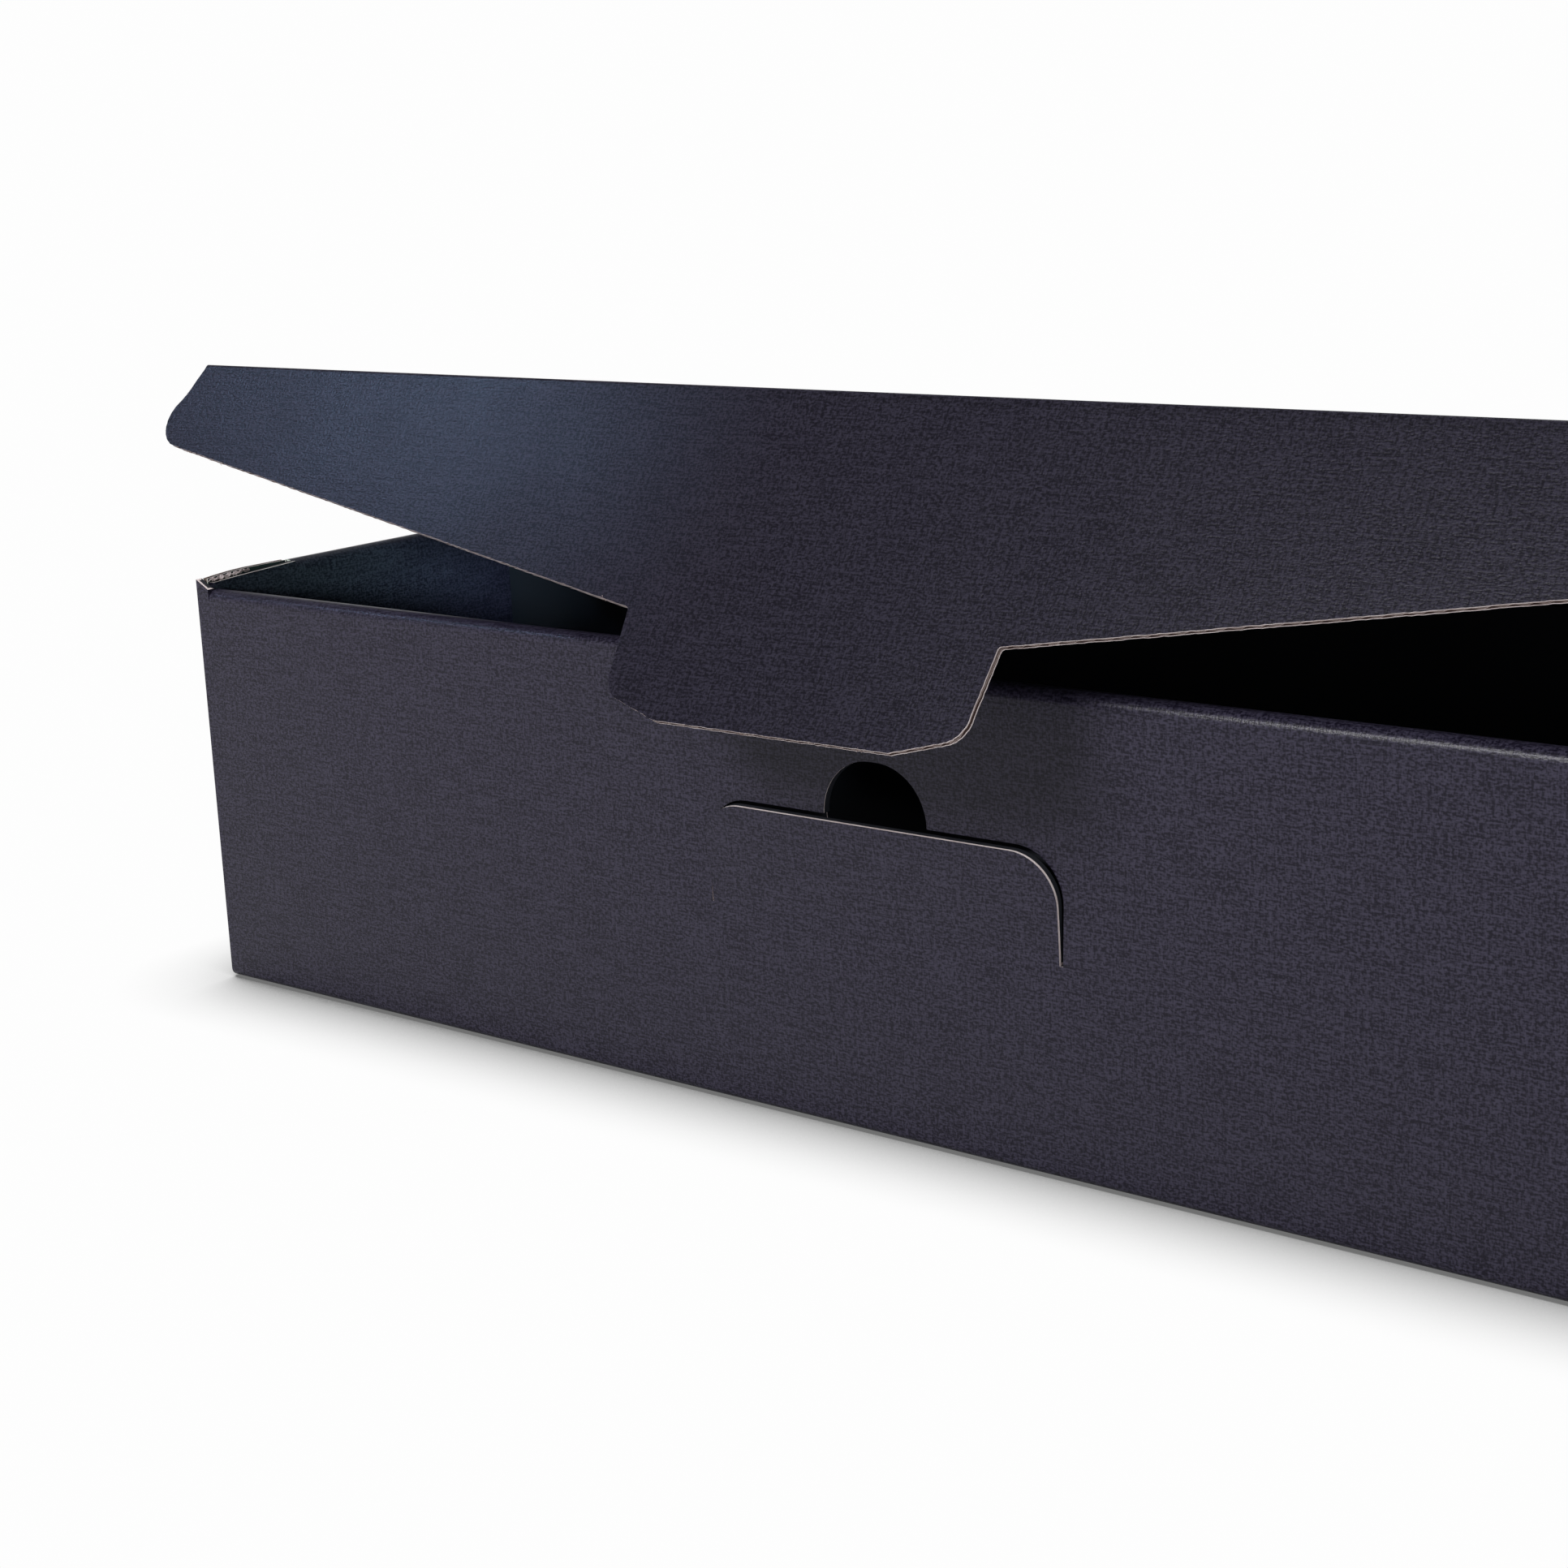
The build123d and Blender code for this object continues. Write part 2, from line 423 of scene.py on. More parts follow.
@dataclass(frozen=True)
class Tufts:
    """Tufts of torn fibre along cut edges."""

    per_metre: float = 0.0
    fibres: tuple[int, int] = (4, 9)
    length: tuple[float, float] = (0.35 * MM, 1.0 * MM)
    lean_along: float = 1.6
    lean_out: float = 0.5
    lean_aside: float = 0.45
    spread: float = 0.5 * MM
    depth_share: tuple[float, float] = (0.05, 0.8)
    root_radius: float = 0.09 * MM
    tip_radius: float = 0.03 * MM


class CardSheet:
    """One sheet of board: drawn as its printed face, then thickened and given its cut edges."""

    bend_segments = 7
    arc_steps_per_radian = 9
    same_plane = 0.99
    same_side = 0.7
    shortest_step_share = 0.4
    groove_lip_share = 1 / 30
    panel_weight = 100

    def __init__(self, name: str, board: Board, phase: Vector, tufts: Tufts = Tufts()) -> None:
        """Start an empty sheet.

        Args:
            name: The piece's name.
            board: The board it is cut from.
            phase: Direction along which the flutes repeat.
            tufts: The torn fibre along its cut edges.
        """
        self.name = name
        self.board = board
        self.phase = phase
        self.tufts = tufts
        self.mesh = bmesh.new()
        self.core = bmesh.new()
        self.knife = self.mesh.edges.layers.int.new("knife")
        self.facing = self.core.verts.layers.float_vector.new("facing")
        self.inward = self.core.verts.layers.float_vector.new("inward")

    def strip(self, path: Sequence[Vector], radii: Sequence[float], run: Vector, facing: Vector) -> None:
        """Add a folded strip of the printed face.

        Args:
            path: The line of the printed face, across the strip.
            radii: Bend radius at each inner point of the path.
            run: How far the strip runs, sideways to its path.
            facing: Which way the strip's last panel faces.
        """
        known = set(self.mesh.faces)
        start = [self.mesh.verts.new(point) for point in path]
        line = [self.mesh.edges.new(pair) for pair in zip(start, start[1:])]
        made = bmesh.ops.extrude_edge_only(self.mesh, edges=line)["geom"]
        bmesh.ops.translate(self.mesh, verts=[part for part in made if isinstance(part, BMVert)], vec=run)
        sides = set(line)
        folds = [next(edge for edge in vert.link_edges if edge not in sides) for vert in start[1:-1]]
        for radius in sorted(set(radii) - {0.0}):
            chosen = [fold for fold, wanted in zip(folds, radii) if wanted == radius]
            bmesh.ops.bevel(self.mesh, geom=chosen, offset=radius, offset_type="OFFSET",
                            segments=self.bend_segments, profile=0.5, affect="EDGES", material=-1)
        added = [face for face in self.mesh.faces if face not in known]
        bmesh.ops.recalc_face_normals(self.mesh, faces=added)
        last = start[-1].link_faces[0]
        last.normal_update()
        if last.normal.dot(facing) < 0:
            bmesh.ops.reverse_faces(self.mesh, faces=added)

    def outline(self, corners: Sequence[Corner], place: Placing) -> BMFace:
        """Add a flat face with rounded corners.

        Args:
            corners: Its corners, in order.
            place: Puts a corner's two measures into space.

        Returns:
            The face.
        """
        flat = [Vector((corner.across, corner.up)) for corner in corners]
        axis = (place(1, 0) - place(0, 0)).cross(place(0, 1) - place(0, 0))
        ends = []
        for index, corner in enumerate(corners):
            before = (flat[index] - flat[index - 1]).normalized()
            after = (flat[(index + 1) % len(flat)] - flat[index]).normalized()
            turn = -before.angle_signed(after)
            start = flat[index] - before * corner.radius * math.tan(abs(turn) / 2)
            middle = start + Vector((-before.y, before.x)) * math.copysign(corner.radius, turn)
            first = last = self.mesh.verts.new(place(*start))
            if corner.radius:
                swept = bmesh.ops.spin(self.mesh, geom=[first], cent=place(*middle), axis=axis, angle=turn,
                                       steps=max(3, int(abs(turn) * self.arc_steps_per_radian)))
                last = swept["geom_last"][0]
            ends.append((first, last))
        for (_, last), (first, _) in zip(ends, ends[1:] + ends[:1]):
            self.mesh.edges.new((last, first))
        loose = [edge for edge in self.mesh.edges if edge.is_wire]
        return bmesh.ops.edgeloop_fill(self.mesh, edges=loose)["faces"][0]

    def panel(self, corners: Sequence[Corner], place: Placing, outward: Vector) -> BMFace:
        """Add a flat panel that faces outward."""
        face = self.outline(corners, place)
        face.normal_update()
        if face.normal.dot(outward) < 0:
            face.normal_flip()
        return face

    def pierce(self, near: Vector, facing: Vector, holes: Sequence[Sequence[Corner]],
               place: Placing) -> list[BMEdge]:
        """Cut rounded outlines out of a flat panel.

        Args:
            near: A point by the panel's middle.
            facing: Which way the panel faces.
            holes: The outlines' corners.
            place: Puts a corner's two measures into space.

        Returns:
            The edges of the holes.
        """
        self.mesh.normal_update()
        panels = [face for face in self.mesh.faces if face.normal.dot(facing) > self.same_plane]
        panel = min(panels, key=lambda face: (face.calc_center_median() - near).length)
        rim = list(panel.edges)
        waste = [self.outline(hole, place) for hole in holes]
        knives = [edge for face in waste for edge in face.edges]
        bmesh.ops.delete(self.mesh, geom=[panel, *waste], context="FACES_ONLY")
        filled = bmesh.ops.triangle_fill(self.mesh, use_beauty=True, use_dissolve=False, edges=rim + knives)
        faces = [part for part in filled["geom"] if isinstance(part, BMFace)]
        self.mesh.normal_update()
        bmesh.ops.reverse_faces(self.mesh, faces=[face for face in faces if face.normal.dot(facing) < 0])
        return knives

    def slice(self, places: Iterable[Vector], across: Vector, only: Sequence[BMFace] = ()) -> list[Any]:
        """Divide the sheet by planes, so that it can bend between them.

        Args:
            places: A point of each plane.
            across: The planes' normal.
            only: Faces to divide; all of them where none are given.

        Returns:
            The divided faces with their edges and points.
        """
        faces = list(only) or self.mesh.faces[:]
        parts = list({part for face in faces for part in (face, *face.edges, *face.verts)})
        for place in places:
            parts = bmesh.ops.bisect_plane(self.mesh, geom=parts, dist=NEAR / 10, plane_co=place,
                                           plane_no=across)["geom"]
        return parts

    def bend(self, shift: Callable[[Vector], Vector], parts: Iterable[Any] | None = None) -> None:
        """Move points of the printed face by a shift that depends on their place."""
        for part in self.mesh.verts if parts is None else parts:
            if isinstance(part, BMVert):
                part.co += shift(part.co)

    def mark(self, kind: Edge, edges: Iterable[BMEdge]) -> None:
        """Say how the knife left some edges."""
        for edge in edges:
            edge[self.knife] = kind

    def mark_where(self, kind: Edge, test: Callable[[Vector], bool]) -> None:
        """Say how the knife left the edges that lie wholly where a test holds."""
        self.mark(kind, self.edges_where(test))

    def edges_where(self, test: Callable[[Vector], bool]) -> list[BMEdge]:
        """The edges that lie wholly where a test holds."""
        return [edge for edge in self.mesh.edges if all(test(vert.co) for vert in edge.verts)]

    def roughen(self, step: float, reach: float) -> None:
        """Make the cut edges of a flat sheet slightly ragged."""
        for edge in [edge for edge in self.mesh.edges if edge.is_boundary]:
            cuts = int(edge.calc_length() / step)
            if cuts:
                bmesh.ops.subdivide_edges(self.mesh, edges=[edge], cuts=cuts)
        self.mesh.normal_update()
        shortest = self.shortest_step_share * step
        moves = []
        for vert in self.mesh.verts:
            ends = [edge.other_vert(vert).co for edge in vert.link_edges if edge.is_boundary]
            if len(ends) == 2 and min((end - vert.co).length for end in ends) > shortest:
                aside = vert.normal.cross((ends[1] - ends[0]).normalized())
                moves.append((vert, aside * random.uniform(-reach, reach)))
        for vert, move in moves:
            vert.co += move

    def thicken(self) -> None:
        """Give the sheet its thickness, its flutes and the hollow between the liners of its cut edges."""
        bmesh.ops.remove_doubles(self.mesh, verts=self.mesh.verts[:], dist=2 * NEAR)
        self.mesh.normal_update()
        self._flutes()
        self._fray()
        printed, kept = self.mesh.faces[:], set(self.mesh.verts)
        bmesh.ops.solidify(self.mesh, geom=printed, thickness=self.board.thickness)
        front = set(printed)
        rims: dict[Edge, list[BMFace]] = {kind: [] for kind in Edge}
        for face in self.mesh.faces:
            if face in front:
                face.material_index = Skin.PRINT
            elif any(vert in kept for vert in face.verts):
                rims[Edge(max(edge[self.knife] for edge in face.edges))].append(face)
            else:
                face.material_index = Skin.LINER
        self._hollow(rims[Edge.OPEN])
        # Pale and dark edges: a pale lip by the printed side, painted shade over the rest.
        self._pale_lip_over_painted_shade(rims[Edge.PALE], kept, self.board.pale_lip)
        self._pale_lip_over_painted_shade(rims[Edge.DARK], kept, self.board.dark_lip)
        for face in rims[Edge.INKED]:
            face.material_index = Skin.PRINT

    def _hollow(self, rim: list[BMFace]) -> None:
        """Sink the middle of the cut edges, which leaves the two liners standing; the sunk faces take the
        groove's painted shade.
        """
        lips = bmesh.ops.inset_region(self.mesh, faces=rim, thickness=self.board.liner, depth=0.0,
                                      use_boundary=True, use_even_offset=True)["faces"]
        thin = self.board.liner * self.groove_lip_share
        walls = bmesh.ops.inset_region(self.mesh, faces=rim, thickness=thin, depth=-self.board.groove,
                                       use_boundary=True)["faces"]
        for face in lips:
            face.material_index = Skin.CUT
        # Painted shade: the groove's walls and floor take a dark brown that stands in for the shade between
        # the liners.
        for face in walls + rim:
            face.material_index = Skin.GROOVE

    def _pale_lip_over_painted_shade(self, rim: list[BMFace], kept: set[BMVert], lip: float) -> None:
        """Leave a pale lip along the printed side of a cut edge, with painted shade over the rest of it.

        Args:
            rim: The faces of the cut edges.
            kept: The points of the printed side.
            lip: How wide the lip is.
        """
        lips = bmesh.ops.inset_region(self.mesh, faces=rim, thickness=lip, depth=0.0, use_boundary=True,
                                      use_even_offset=True)["faces"]
        # Painted shade: the rest of the edge takes the dark inner liner's finish.
        for face in lips + rim:
            face.material_index = Skin.LINER
        for face in lips:
            if any(vert in kept for vert in face.verts):
                face.material_index = Skin.CUT

    def _fray(self) -> None:
        """Leave tufts of torn fibre standing on the cut edges."""
        for edge in [edge for edge in self.mesh.edges if edge.is_boundary and edge[self.knife] < Edge.DARK]:
            if random.random() < self.tufts.per_metre * edge.calc_length():
                self._tuft(edge, edge.link_faces[0].normal.copy())

    def _tuft(self, edge: BMEdge, outward: Vector) -> None:
        """Stand a few short fibres together on a cut edge.

        Args:
            edge: The cut edge, on the printed face.
            outward: Which way the printed face looks.
        """
        first, last = (vert.co for vert in edge.verts)
        along, aside = (last - first).normalized(), -self._inside(edge)
        middle = (first + last) / 2
        tufts = self.tufts
        for _ in range(random.randint(*tufts.fibres)):
            size = random.uniform(*tufts.length)
            lean = along * random.uniform(-tufts.lean_along, tufts.lean_along)
            lean += outward * random.uniform(-tufts.lean_out, tufts.lean_out) + aside * tufts.lean_aside
            place = middle + along * random.gauss(0.0, tufts.spread)
            place -= outward * random.uniform(*tufts.depth_share) * self.board.thickness
            spot = Matrix.Translation(place) @ lean.to_track_quat("Z", "Y").to_matrix().to_4x4()
            bmesh.ops.create_cone(self.core, cap_ends=True, segments=4, radius1=tufts.root_radius,
                                  radius2=tufts.tip_radius, depth=size, matrix=spot)

    @staticmethod
    def _inside(edge: BMEdge) -> Vector:
        """Which way the sheet lies from one of its cut edges."""
        loop = edge.link_loops[0]
        along = loop.link_loop_next.vert.co - loop.vert.co
        return loop.face.normal.cross(along).normalized()

    def _flutes(self) -> None:
        """Lay the waved medium along the sheet's open cut edges."""
        facing, inward = self.facing, self.inward
        twins: dict[BMVert, list[BMVert]] = {}
        for edge in [edge for edge in self.mesh.edges if edge.is_boundary and edge[self.knife] == Edge.OPEN]:
            inside = self._inside(edge)
            pair = []
            for vert in edge.verts:
                known = twins.setdefault(vert, [])
                alike = [one for one in known if one[inward].normalized().dot(inside) > self.same_side]
                twin = next(iter(alike), None)
                if twin is None:
                    twin = self.core.verts.new(vert.co - vert.normal * self.board.thickness / 2)
                    twin[facing] = vert.normal
                    known.append(twin)
                twin[inward] = twin[inward] + inside
                pair.append(twin)
            self.core.edges.new(pair)
        for edge in self.core.edges[:]:
            cuts = int(edge.calc_length() / self.board.flute_step)
            if cuts:
                bmesh.ops.subdivide_edges(self.core, edges=[edge], cuts=cuts)
        turn = 2 * math.pi / self.board.flute_pitch
        for vert in self.core.verts:
            swing = self.board.flute_reach * math.sin(turn * vert.co.dot(self.phase))
            vert[inward] = vert[inward].normalized()
            vert.co += vert[facing] * swing + vert[inward] * self.board.flute_setback
        made = bmesh.ops.extrude_edge_only(self.core, edges=self.core.edges[:])["geom"]
        for vert in [part for part in made if isinstance(part, BMVert)]:
            vert.co += vert[inward] * self.board.groove
        bmesh.ops.recalc_face_normals(self.core, faces=self.core.faces[:])
        bmesh.ops.solidify(self.core, geom=self.core.faces[:], thickness=self.board.medium)

    def turn(self, angle: float, axis_point: Vector) -> None:
        """Turn the sheet about a line along X."""
        spin = Matrix.Rotation(angle, 3, "X")
        for mesh in (self.mesh, self.core):
            bmesh.ops.rotate(mesh, verts=mesh.verts[:], cent=axis_point, matrix=spin)

    def unfold(self) -> None:
        """Give every face flat coordinates in metres, so that the threads follow its panel."""
        layer = self.mesh.loops.layers.uv.new("blank")
        self.mesh.normal_update()
        for face in self.mesh.faces:
            size = [abs(part) for part in face.normal]
            skip = size.index(max(size))
            first, second = [axis for axis in range(3) if axis != skip]
            for loop in face.loops:
                loop[layer].uv = (loop.vert.co[first], loop.vert.co[second])

    def objects(self, finishes: Finishes) -> list[bpy.types.Object]:
        """Turn the sheet and its flutes into dressed objects.

        Args:
            finishes: The finishes of the board.

        Returns:
            The board and its fluted medium.
        """
        self.mesh.edges.layers.int.remove(self.knife)
        for name in ("facing", "inward"):
            self.core.verts.layers.float_vector.remove(self.core.verts.layers.float_vector[name])
        board = new_object(self.name, self.mesh, finishes.sheet)
        core = new_object(f"{self.name}_flutes", self.core, [finishes.flute])
        weigh = board.modifiers.new("flat_panels", "WEIGHTED_NORMAL")
        weigh.weight = self.panel_weight
        weigh.keep_sharp = True
        return [board, core]


def new_object(name: str, mesh: BMesh, materials: Sequence[bpy.types.Material],
               sharp: float = 38.0) -> bpy.types.Object:
    """Make a smooth-shaded object of a finished mesh.

    Args:
        name: The piece's name.
        mesh: Its mesh, which is freed.
        materials: Its finishes, by slot.
        sharp: Edges that turn by more degrees than this stay sharp.

    Returns:
        The object, at the origin.
    """
    data = bpy.data.meshes.new(name)
    mesh.to_mesh(data)
    mesh.free()
    data.shade_smooth()
    data.set_sharp_from_angle(angle=math.radians(sharp))
    for material in materials:
        data.materials.append(material)
    made = bpy.data.objects.new(name, data)
    bpy.context.scene.collection.objects.link(made)
    return made


@dataclass
class Finishes:
    """The finishes of the board, made once and shared by its sheets."""

    print_side: LinenPrint = field(default_factory=LinenPrint)
    inner_side: InnerLiner = field(default_factory=InnerLiner)
    cut_liner: CutPaper = CutPaper("cut_liner", (0.44, 0.345, 0.335), (0.80, 0.73, 0.725))
    # The groove's finish is painted shade: a dark brown for the hollow between the liners.
    cut_groove: CutPaper = CutPaper("cut_groove", (0.045, 0.026, 0.023), (0.11, 0.068, 0.058))
    cut_flute: CutPaper = CutPaper("cut_flute", (0.20, 0.135, 0.115), (0.42, 0.34, 0.32))

    def __post_init__(self) -> None:
        """Make the materials."""
        self.linen = self.print_side.material()
        liner = self.inner_side.material()
        self.flute = self.cut_flute.material()
        self.sheet = [self.linen, liner, self.cut_liner.material(), self.cut_groove.material()]


def settle(made: bpy.types.Object, body: str, node: str) -> None:
    """Let a piece ride on its body, in place of its CAD node.

    Args:
        made: The piece.
        body: The body it moves with.
        node: The CAD node it stands for.
    """
    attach(made, body)
    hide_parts(node)
    LOG.info("%s on %s: %d faces", made.name, body, len(made.data.polygons))


def settle_sheet(sheet: CardSheet, finishes: Finishes, body: str, node: str,
                 pose: Callable[[CardSheet], None] | None = None) -> None:
    """Thicken and dress a sheet, and let its board and flutes ride on their body.

    Args:
        sheet: The folded printed face.
        finishes: The finishes of the board.
        body: The body it moves with.
        node: The CAD node it stands for.
        pose: Turns the sheet from shut to how it rests.
    """
    sheet.thicken()
    sheet.unfold()
    if pose:
        pose(sheet)
    for made in sheet.objects(finishes):
        settle(made, body, node)


# Pieces of the box


@dataclass(frozen=True)
class BoxSizes:
    """Sizes of the folded box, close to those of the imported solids."""

    length: float = 369 * MM
    depth: float = 92 * MM
    side_height: float = 91 * MM
    front_height: float = 87.9 * MM
    board: float = 1.6 * MM
    layer_play: float = 0.15 * MM
    crease_inner_radius: float = 0.2 * MM
    roll_round_share: float = 0.9
    panel_lift: float = 0.3 * MM
    raw_edge_drop: float = 0.2 * MM
    front_roll_setback: float = 3.7 * MM
    corner_drop: float = 0.9 * MM

    @property
    def front(self) -> float:
        """The front wall's outer face."""
        return -self.depth / 2

    @property
    def back(self) -> float:
        """The back wall's outer face."""
        return self.depth / 2

    @property
    def side(self) -> float:
        """A side wall's outer face."""
        return self.length / 2

    @property
    def rolled_width(self) -> float:
        """Width of a rolled wall."""
        return 3 * self.board + 2 * self.layer_play

    @property
    def roll_radius(self) -> float:
        """Radius of the printed face on a roll."""
        return (self.rolled_width - self.board) / 2 * self.roll_round_share + self.board / 2

    @property
    def crease_radius(self) -> float:
        """Radius of the printed face on a fold."""
        return self.board + self.crease_inner_radius

    @property
    def strip_half(self) -> float:
        """Half the length of the strip between the side walls."""
        return self.side - self.crease_radius - self.layer_play

    @property
    def front_roll_half(self) -> float:
        """Half the length of the front wall's roll."""
        return self.side - self.front_roll_setback

    @property
    def corner_top(self) -> float:
        """Height of the front wall's raw edge at the corners."""
        return self.side_height - self.corner_drop

    @property
    def panel_front(self) -> float:
        """Where a side wall's outer panel starts behind the front wall."""
        return self.front + self.crease_radius + self.layer_play

    @property
    def panel_foot(self) -> float:
        """Height of the foot of a rolled wall's inner panel."""
        return self.board + self.panel_lift


@dataclass(frozen=True)
class TornPaper:
    """A scrap of torn paper between the panels of a front corner."""

    length: float = 11 * MM
    width: float = 1.3 * MM
    taper: float = 0.75
    gap: float = 0.1 * MM
    sink: float = 0.3 * MM
    rise: tuple[float, float] = (-0.35 * MM, 0.45 * MM)
    stray: float = 0.15 * MM
    strips: int = 5
    rows: int = 22


@dataclass
class Tray:
    """The tray: rolled front wall with its closing tab, base, back wall and rolled side walls."""

    sizes: BoxSizes
    board: Board
    roll_front_setback: float = 24 * MM
    roll_back_setback: float = 6 * MM
    bevel_drop: float = 1.5 * MM
    corner_slope: float = 2.0 * MM
    rim_dip: float = 0.75 * MM
    rim_dip_run: float = 11 * MM
    rim_dip_curl: float = 1.5
    rim_dip_shares: tuple[float, ...] = (0.15, 0.3, 0.5, 0.75)
    pinch: float = 1.75 * MM
    pinch_steps: int = 5
    pinch_shares: tuple[float, ...] = (0.45, 0.65, 0.82)
    nose_share: float = 0.86
    slit_half_width: float = 39.9 * MM
    slit_foot_half_width: float = 39.2 * MM
    slit_foot: float = 39.4 * MM
    slit_top: float = 59.3 * MM
    slit_corner: float = 9 * MM
    slit_kerf: float = 0.75 * MM
    far_kerf: float = 0.25 * MM
    tab_spring: float = 2.0 * MM
    tab_curl: float = 1.15
    tab_steps: int = 6
    moon_radius: float = 11.6 * MM
    moon_margin: float = 3.4 * MM
    moon_round_share: float = 0.99
    torn: TornPaper = TornPaper()
    ear_length: float = 45 * MM
    ear_taper: float = 6 * MM
    ear_corner: float = 2 * MM
    ear_clearance: float = 1 * MM
    lock_tab_width: float = 22 * MM
    lock_tab_lift: float = 0.3 * MM
    lock_slot_play: float = 0.3 * MM
    lock_spacing_share: float = 0.3

    def on_front(self, across: float, up: float) -> Vector:
        """A point of the front wall's outer face."""
        return Vector((across, self.sizes.front, up))

    def on_front_inside(self, across: float, up: float) -> Vector:
        """A point of the front wall's inner panel, on the side of the bottle."""
        return Vector((across, self.sizes.front + self.sizes.rolled_width, up))

    def on_base(self, across: float, up: float) -> Vector:
        """A point of the base's underside."""
        return Vector((across, up, 0.0))

    def base(self) -> CardSheet:
        """Fold the base and back wall, and cut the slots.

        Returns:
            The sheet.
        """
        box = self.sizes
        sheet = CardSheet("base_and_back", self.board, ALONG)
        line = [(box.panel_front, 0.0), (box.back, 0.0), (box.back, box.side_height)]
        self._fold(sheet, line, [box.crease_radius], -box.strip_half, box.strip_half, BACK)
        self._slots(sheet)
        sheet.mark_where(Edge.DARK, lambda at: at.y < box.panel_front + NEAR)
        sheet.mark_where(Edge.INKED, lambda at: at.z > box.side_height - NEAR)
        return sheet

    def front_wall(self) -> CardSheet:
        """Fold the rolled front wall, and cut the closure.

        Returns:
            The sheet.
        """
        box = self.sizes
        sheet = CardSheet("front_wall", self.board, ALONG)
        under, roll = -UP, box.front_roll_half
        inner = box.front + box.rolled_width
        foot = [(box.front, 0.0), (box.panel_front, 0.0)]
        wall = [(inner, box.panel_foot), (inner, box.front_height), (box.front, box.front_height), *foot]
        self._fold(sheet, wall, [box.roll_radius, box.roll_radius, box.crease_radius], -roll, roll, under)
        self._closure(sheet)
        plain = [(box.front, box.corner_top), (box.front, box.front_height - box.roll_radius), *foot]
        for end in End:
            self._fold(sheet, plain, [0.0, box.crease_radius], end.value * roll, end.value * box.side, under)
        self._slope_corners(sheet)
        sheet.mark_where(Edge.DARK, lambda at: at.y > box.panel_front - NEAR and at.z < NEAR)
        return sheet

    @staticmethod
    def _fold(sheet: CardSheet, line: Line, radii: Sequence[float], start: float, stop: float,
              facing: Vector) -> None:
        """Fold one stretch of the sheet along X.

        Args:
            sheet: The tray's sheet.
            line: The printed face across X, as Y and Z.
            radii: Bend radius at each inner point of the line.
            start: Where the stretch starts.
            stop: Where it stops.
            facing: Which way its last panel faces.
        """
        sheet.strip([Vector((start, y, z)) for y, z in line], radii, Vector((stop - start, 0, 0)), facing)

    def _slope_corners(self, sheet: CardSheet) -> None:
        """Let the raw edge at the front corners slope up from the roll."""
        box = self.sizes
        low = box.corner_top - self.corner_slope
        slope = self.corner_slope / (box.side - box.front_roll_half)
        roll_foot = box.front_height - box.roll_radius

        def rise(at: Vector) -> Vector:
            """How far a point of the raw edge moves."""
            beyond = abs(at.x) - box.front_roll_half
            raw = beyond > -NEAR and at.y < box.front + NEAR and at.z > roll_foot + NEAR
            return UP * (low + slope * beyond - at.z) if raw else Vector()

        def roll_end(at: Vector) -> bool:
            """Whether a point is on the cut end of the roll or on the raw edge beyond it."""
            outside = abs(at.x) > box.front_roll_half - NEAR
            return outside and at.y < box.front + box.rolled_width + NEAR and at.z > roll_foot - NEAR

        sheet.bend(rise)
        ends = sheet.edges_where(roll_end)
        sheet.mark(Edge.INKED, ends)
        sheet.mark(Edge.PALE, [edge for edge in ends if abs(edge.verts[0].co.x - edge.verts[1].co.x) > NEAR])

    def _closure(self, sheet: CardSheet) -> None:
        """Cut the U-slit and the half-moons, and stand the tab in the slit."""
        half, low, foot, top = self.slit_half_width, self.slit_foot_half_width, self.slit_foot, self.slit_top
        kerf, far, moon = self.slit_kerf, self.far_kerf, self.moon_radius
        window = [Corner(-low - far, foot), Corner(-low, foot), Corner(low, foot), Corner(low + kerf, foot),
                  Corner(half + kerf, top + kerf, self.slit_corner + kerf), Corner(moon, top + kerf),
                  Corner(moon, top + moon, moon - kerf), Corner(-moon, top + moon, moon - kerf),
                  Corner(-moon, top + kerf), Corner(-half - far, top + kerf, self.slit_corner + kerf)]
        middle, wide = self.sizes.front_height / 2, moon + self.moon_margin
        slit = sheet.pierce(self.on_front(0, middle), -BACK, [window], self.on_front)
        hole = oblong(0.0, top, wide, wide, wide * self.moon_round_share)
        finger = sheet.pierce(self.on_front_inside(0, middle), BACK, [hole], self.on_front_inside)
        sheet.mark(Edge.DARK, slit + finger)
        self._spring(sheet, [Corner(-low, foot), Corner(low, foot), Corner(half, top, self.slit_corner),
                             Corner(-half, top, self.slit_corner)])

    def _spring(self, sheet: CardSheet, corners: Sequence[Corner]) -> None:
        """Add the closing tab, sprung forward in a shallow curve from its foot."""
        rise = self.slit_top - self.slit_foot

        def spring(at: Vector) -> Vector:
            """How far a point of the tab stands forward."""
            share = max(0.0, (at.z - self.slit_foot) / rise)
            return -BACK * (self.tab_spring * share ** self.tab_curl)

        tab = sheet.panel(corners, self.on_front, -BACK)
        shares = [step / self.tab_steps for step in range(1, self.tab_steps)]
        parts = sheet.slice([self.on_front(0, self.slit_foot + rise * share) for share in shares], UP, [tab])
        sheet.mark(Edge.PALE, [part for part in parts if isinstance(part, BMEdge)])
        sheet.bend(spring, parts)

    def lock_places(self) -> list[tuple[float, float, float, float]]:
        """Middle and half sizes, in plan, of each locking tab."""
        box, half = self.sizes, self.lock_tab_width / 2
        front = box.front + box.rolled_width - box.board / 2
        side = box.side - box.rolled_width + box.board / 2
        step = self.lock_spacing_share * box.length
        along = [(place * step, front, half, box.board / 2) for place in (-1, 0, 1)]
        return along + [(end.value * side, 0.0, box.board / 2, half) for end in End]

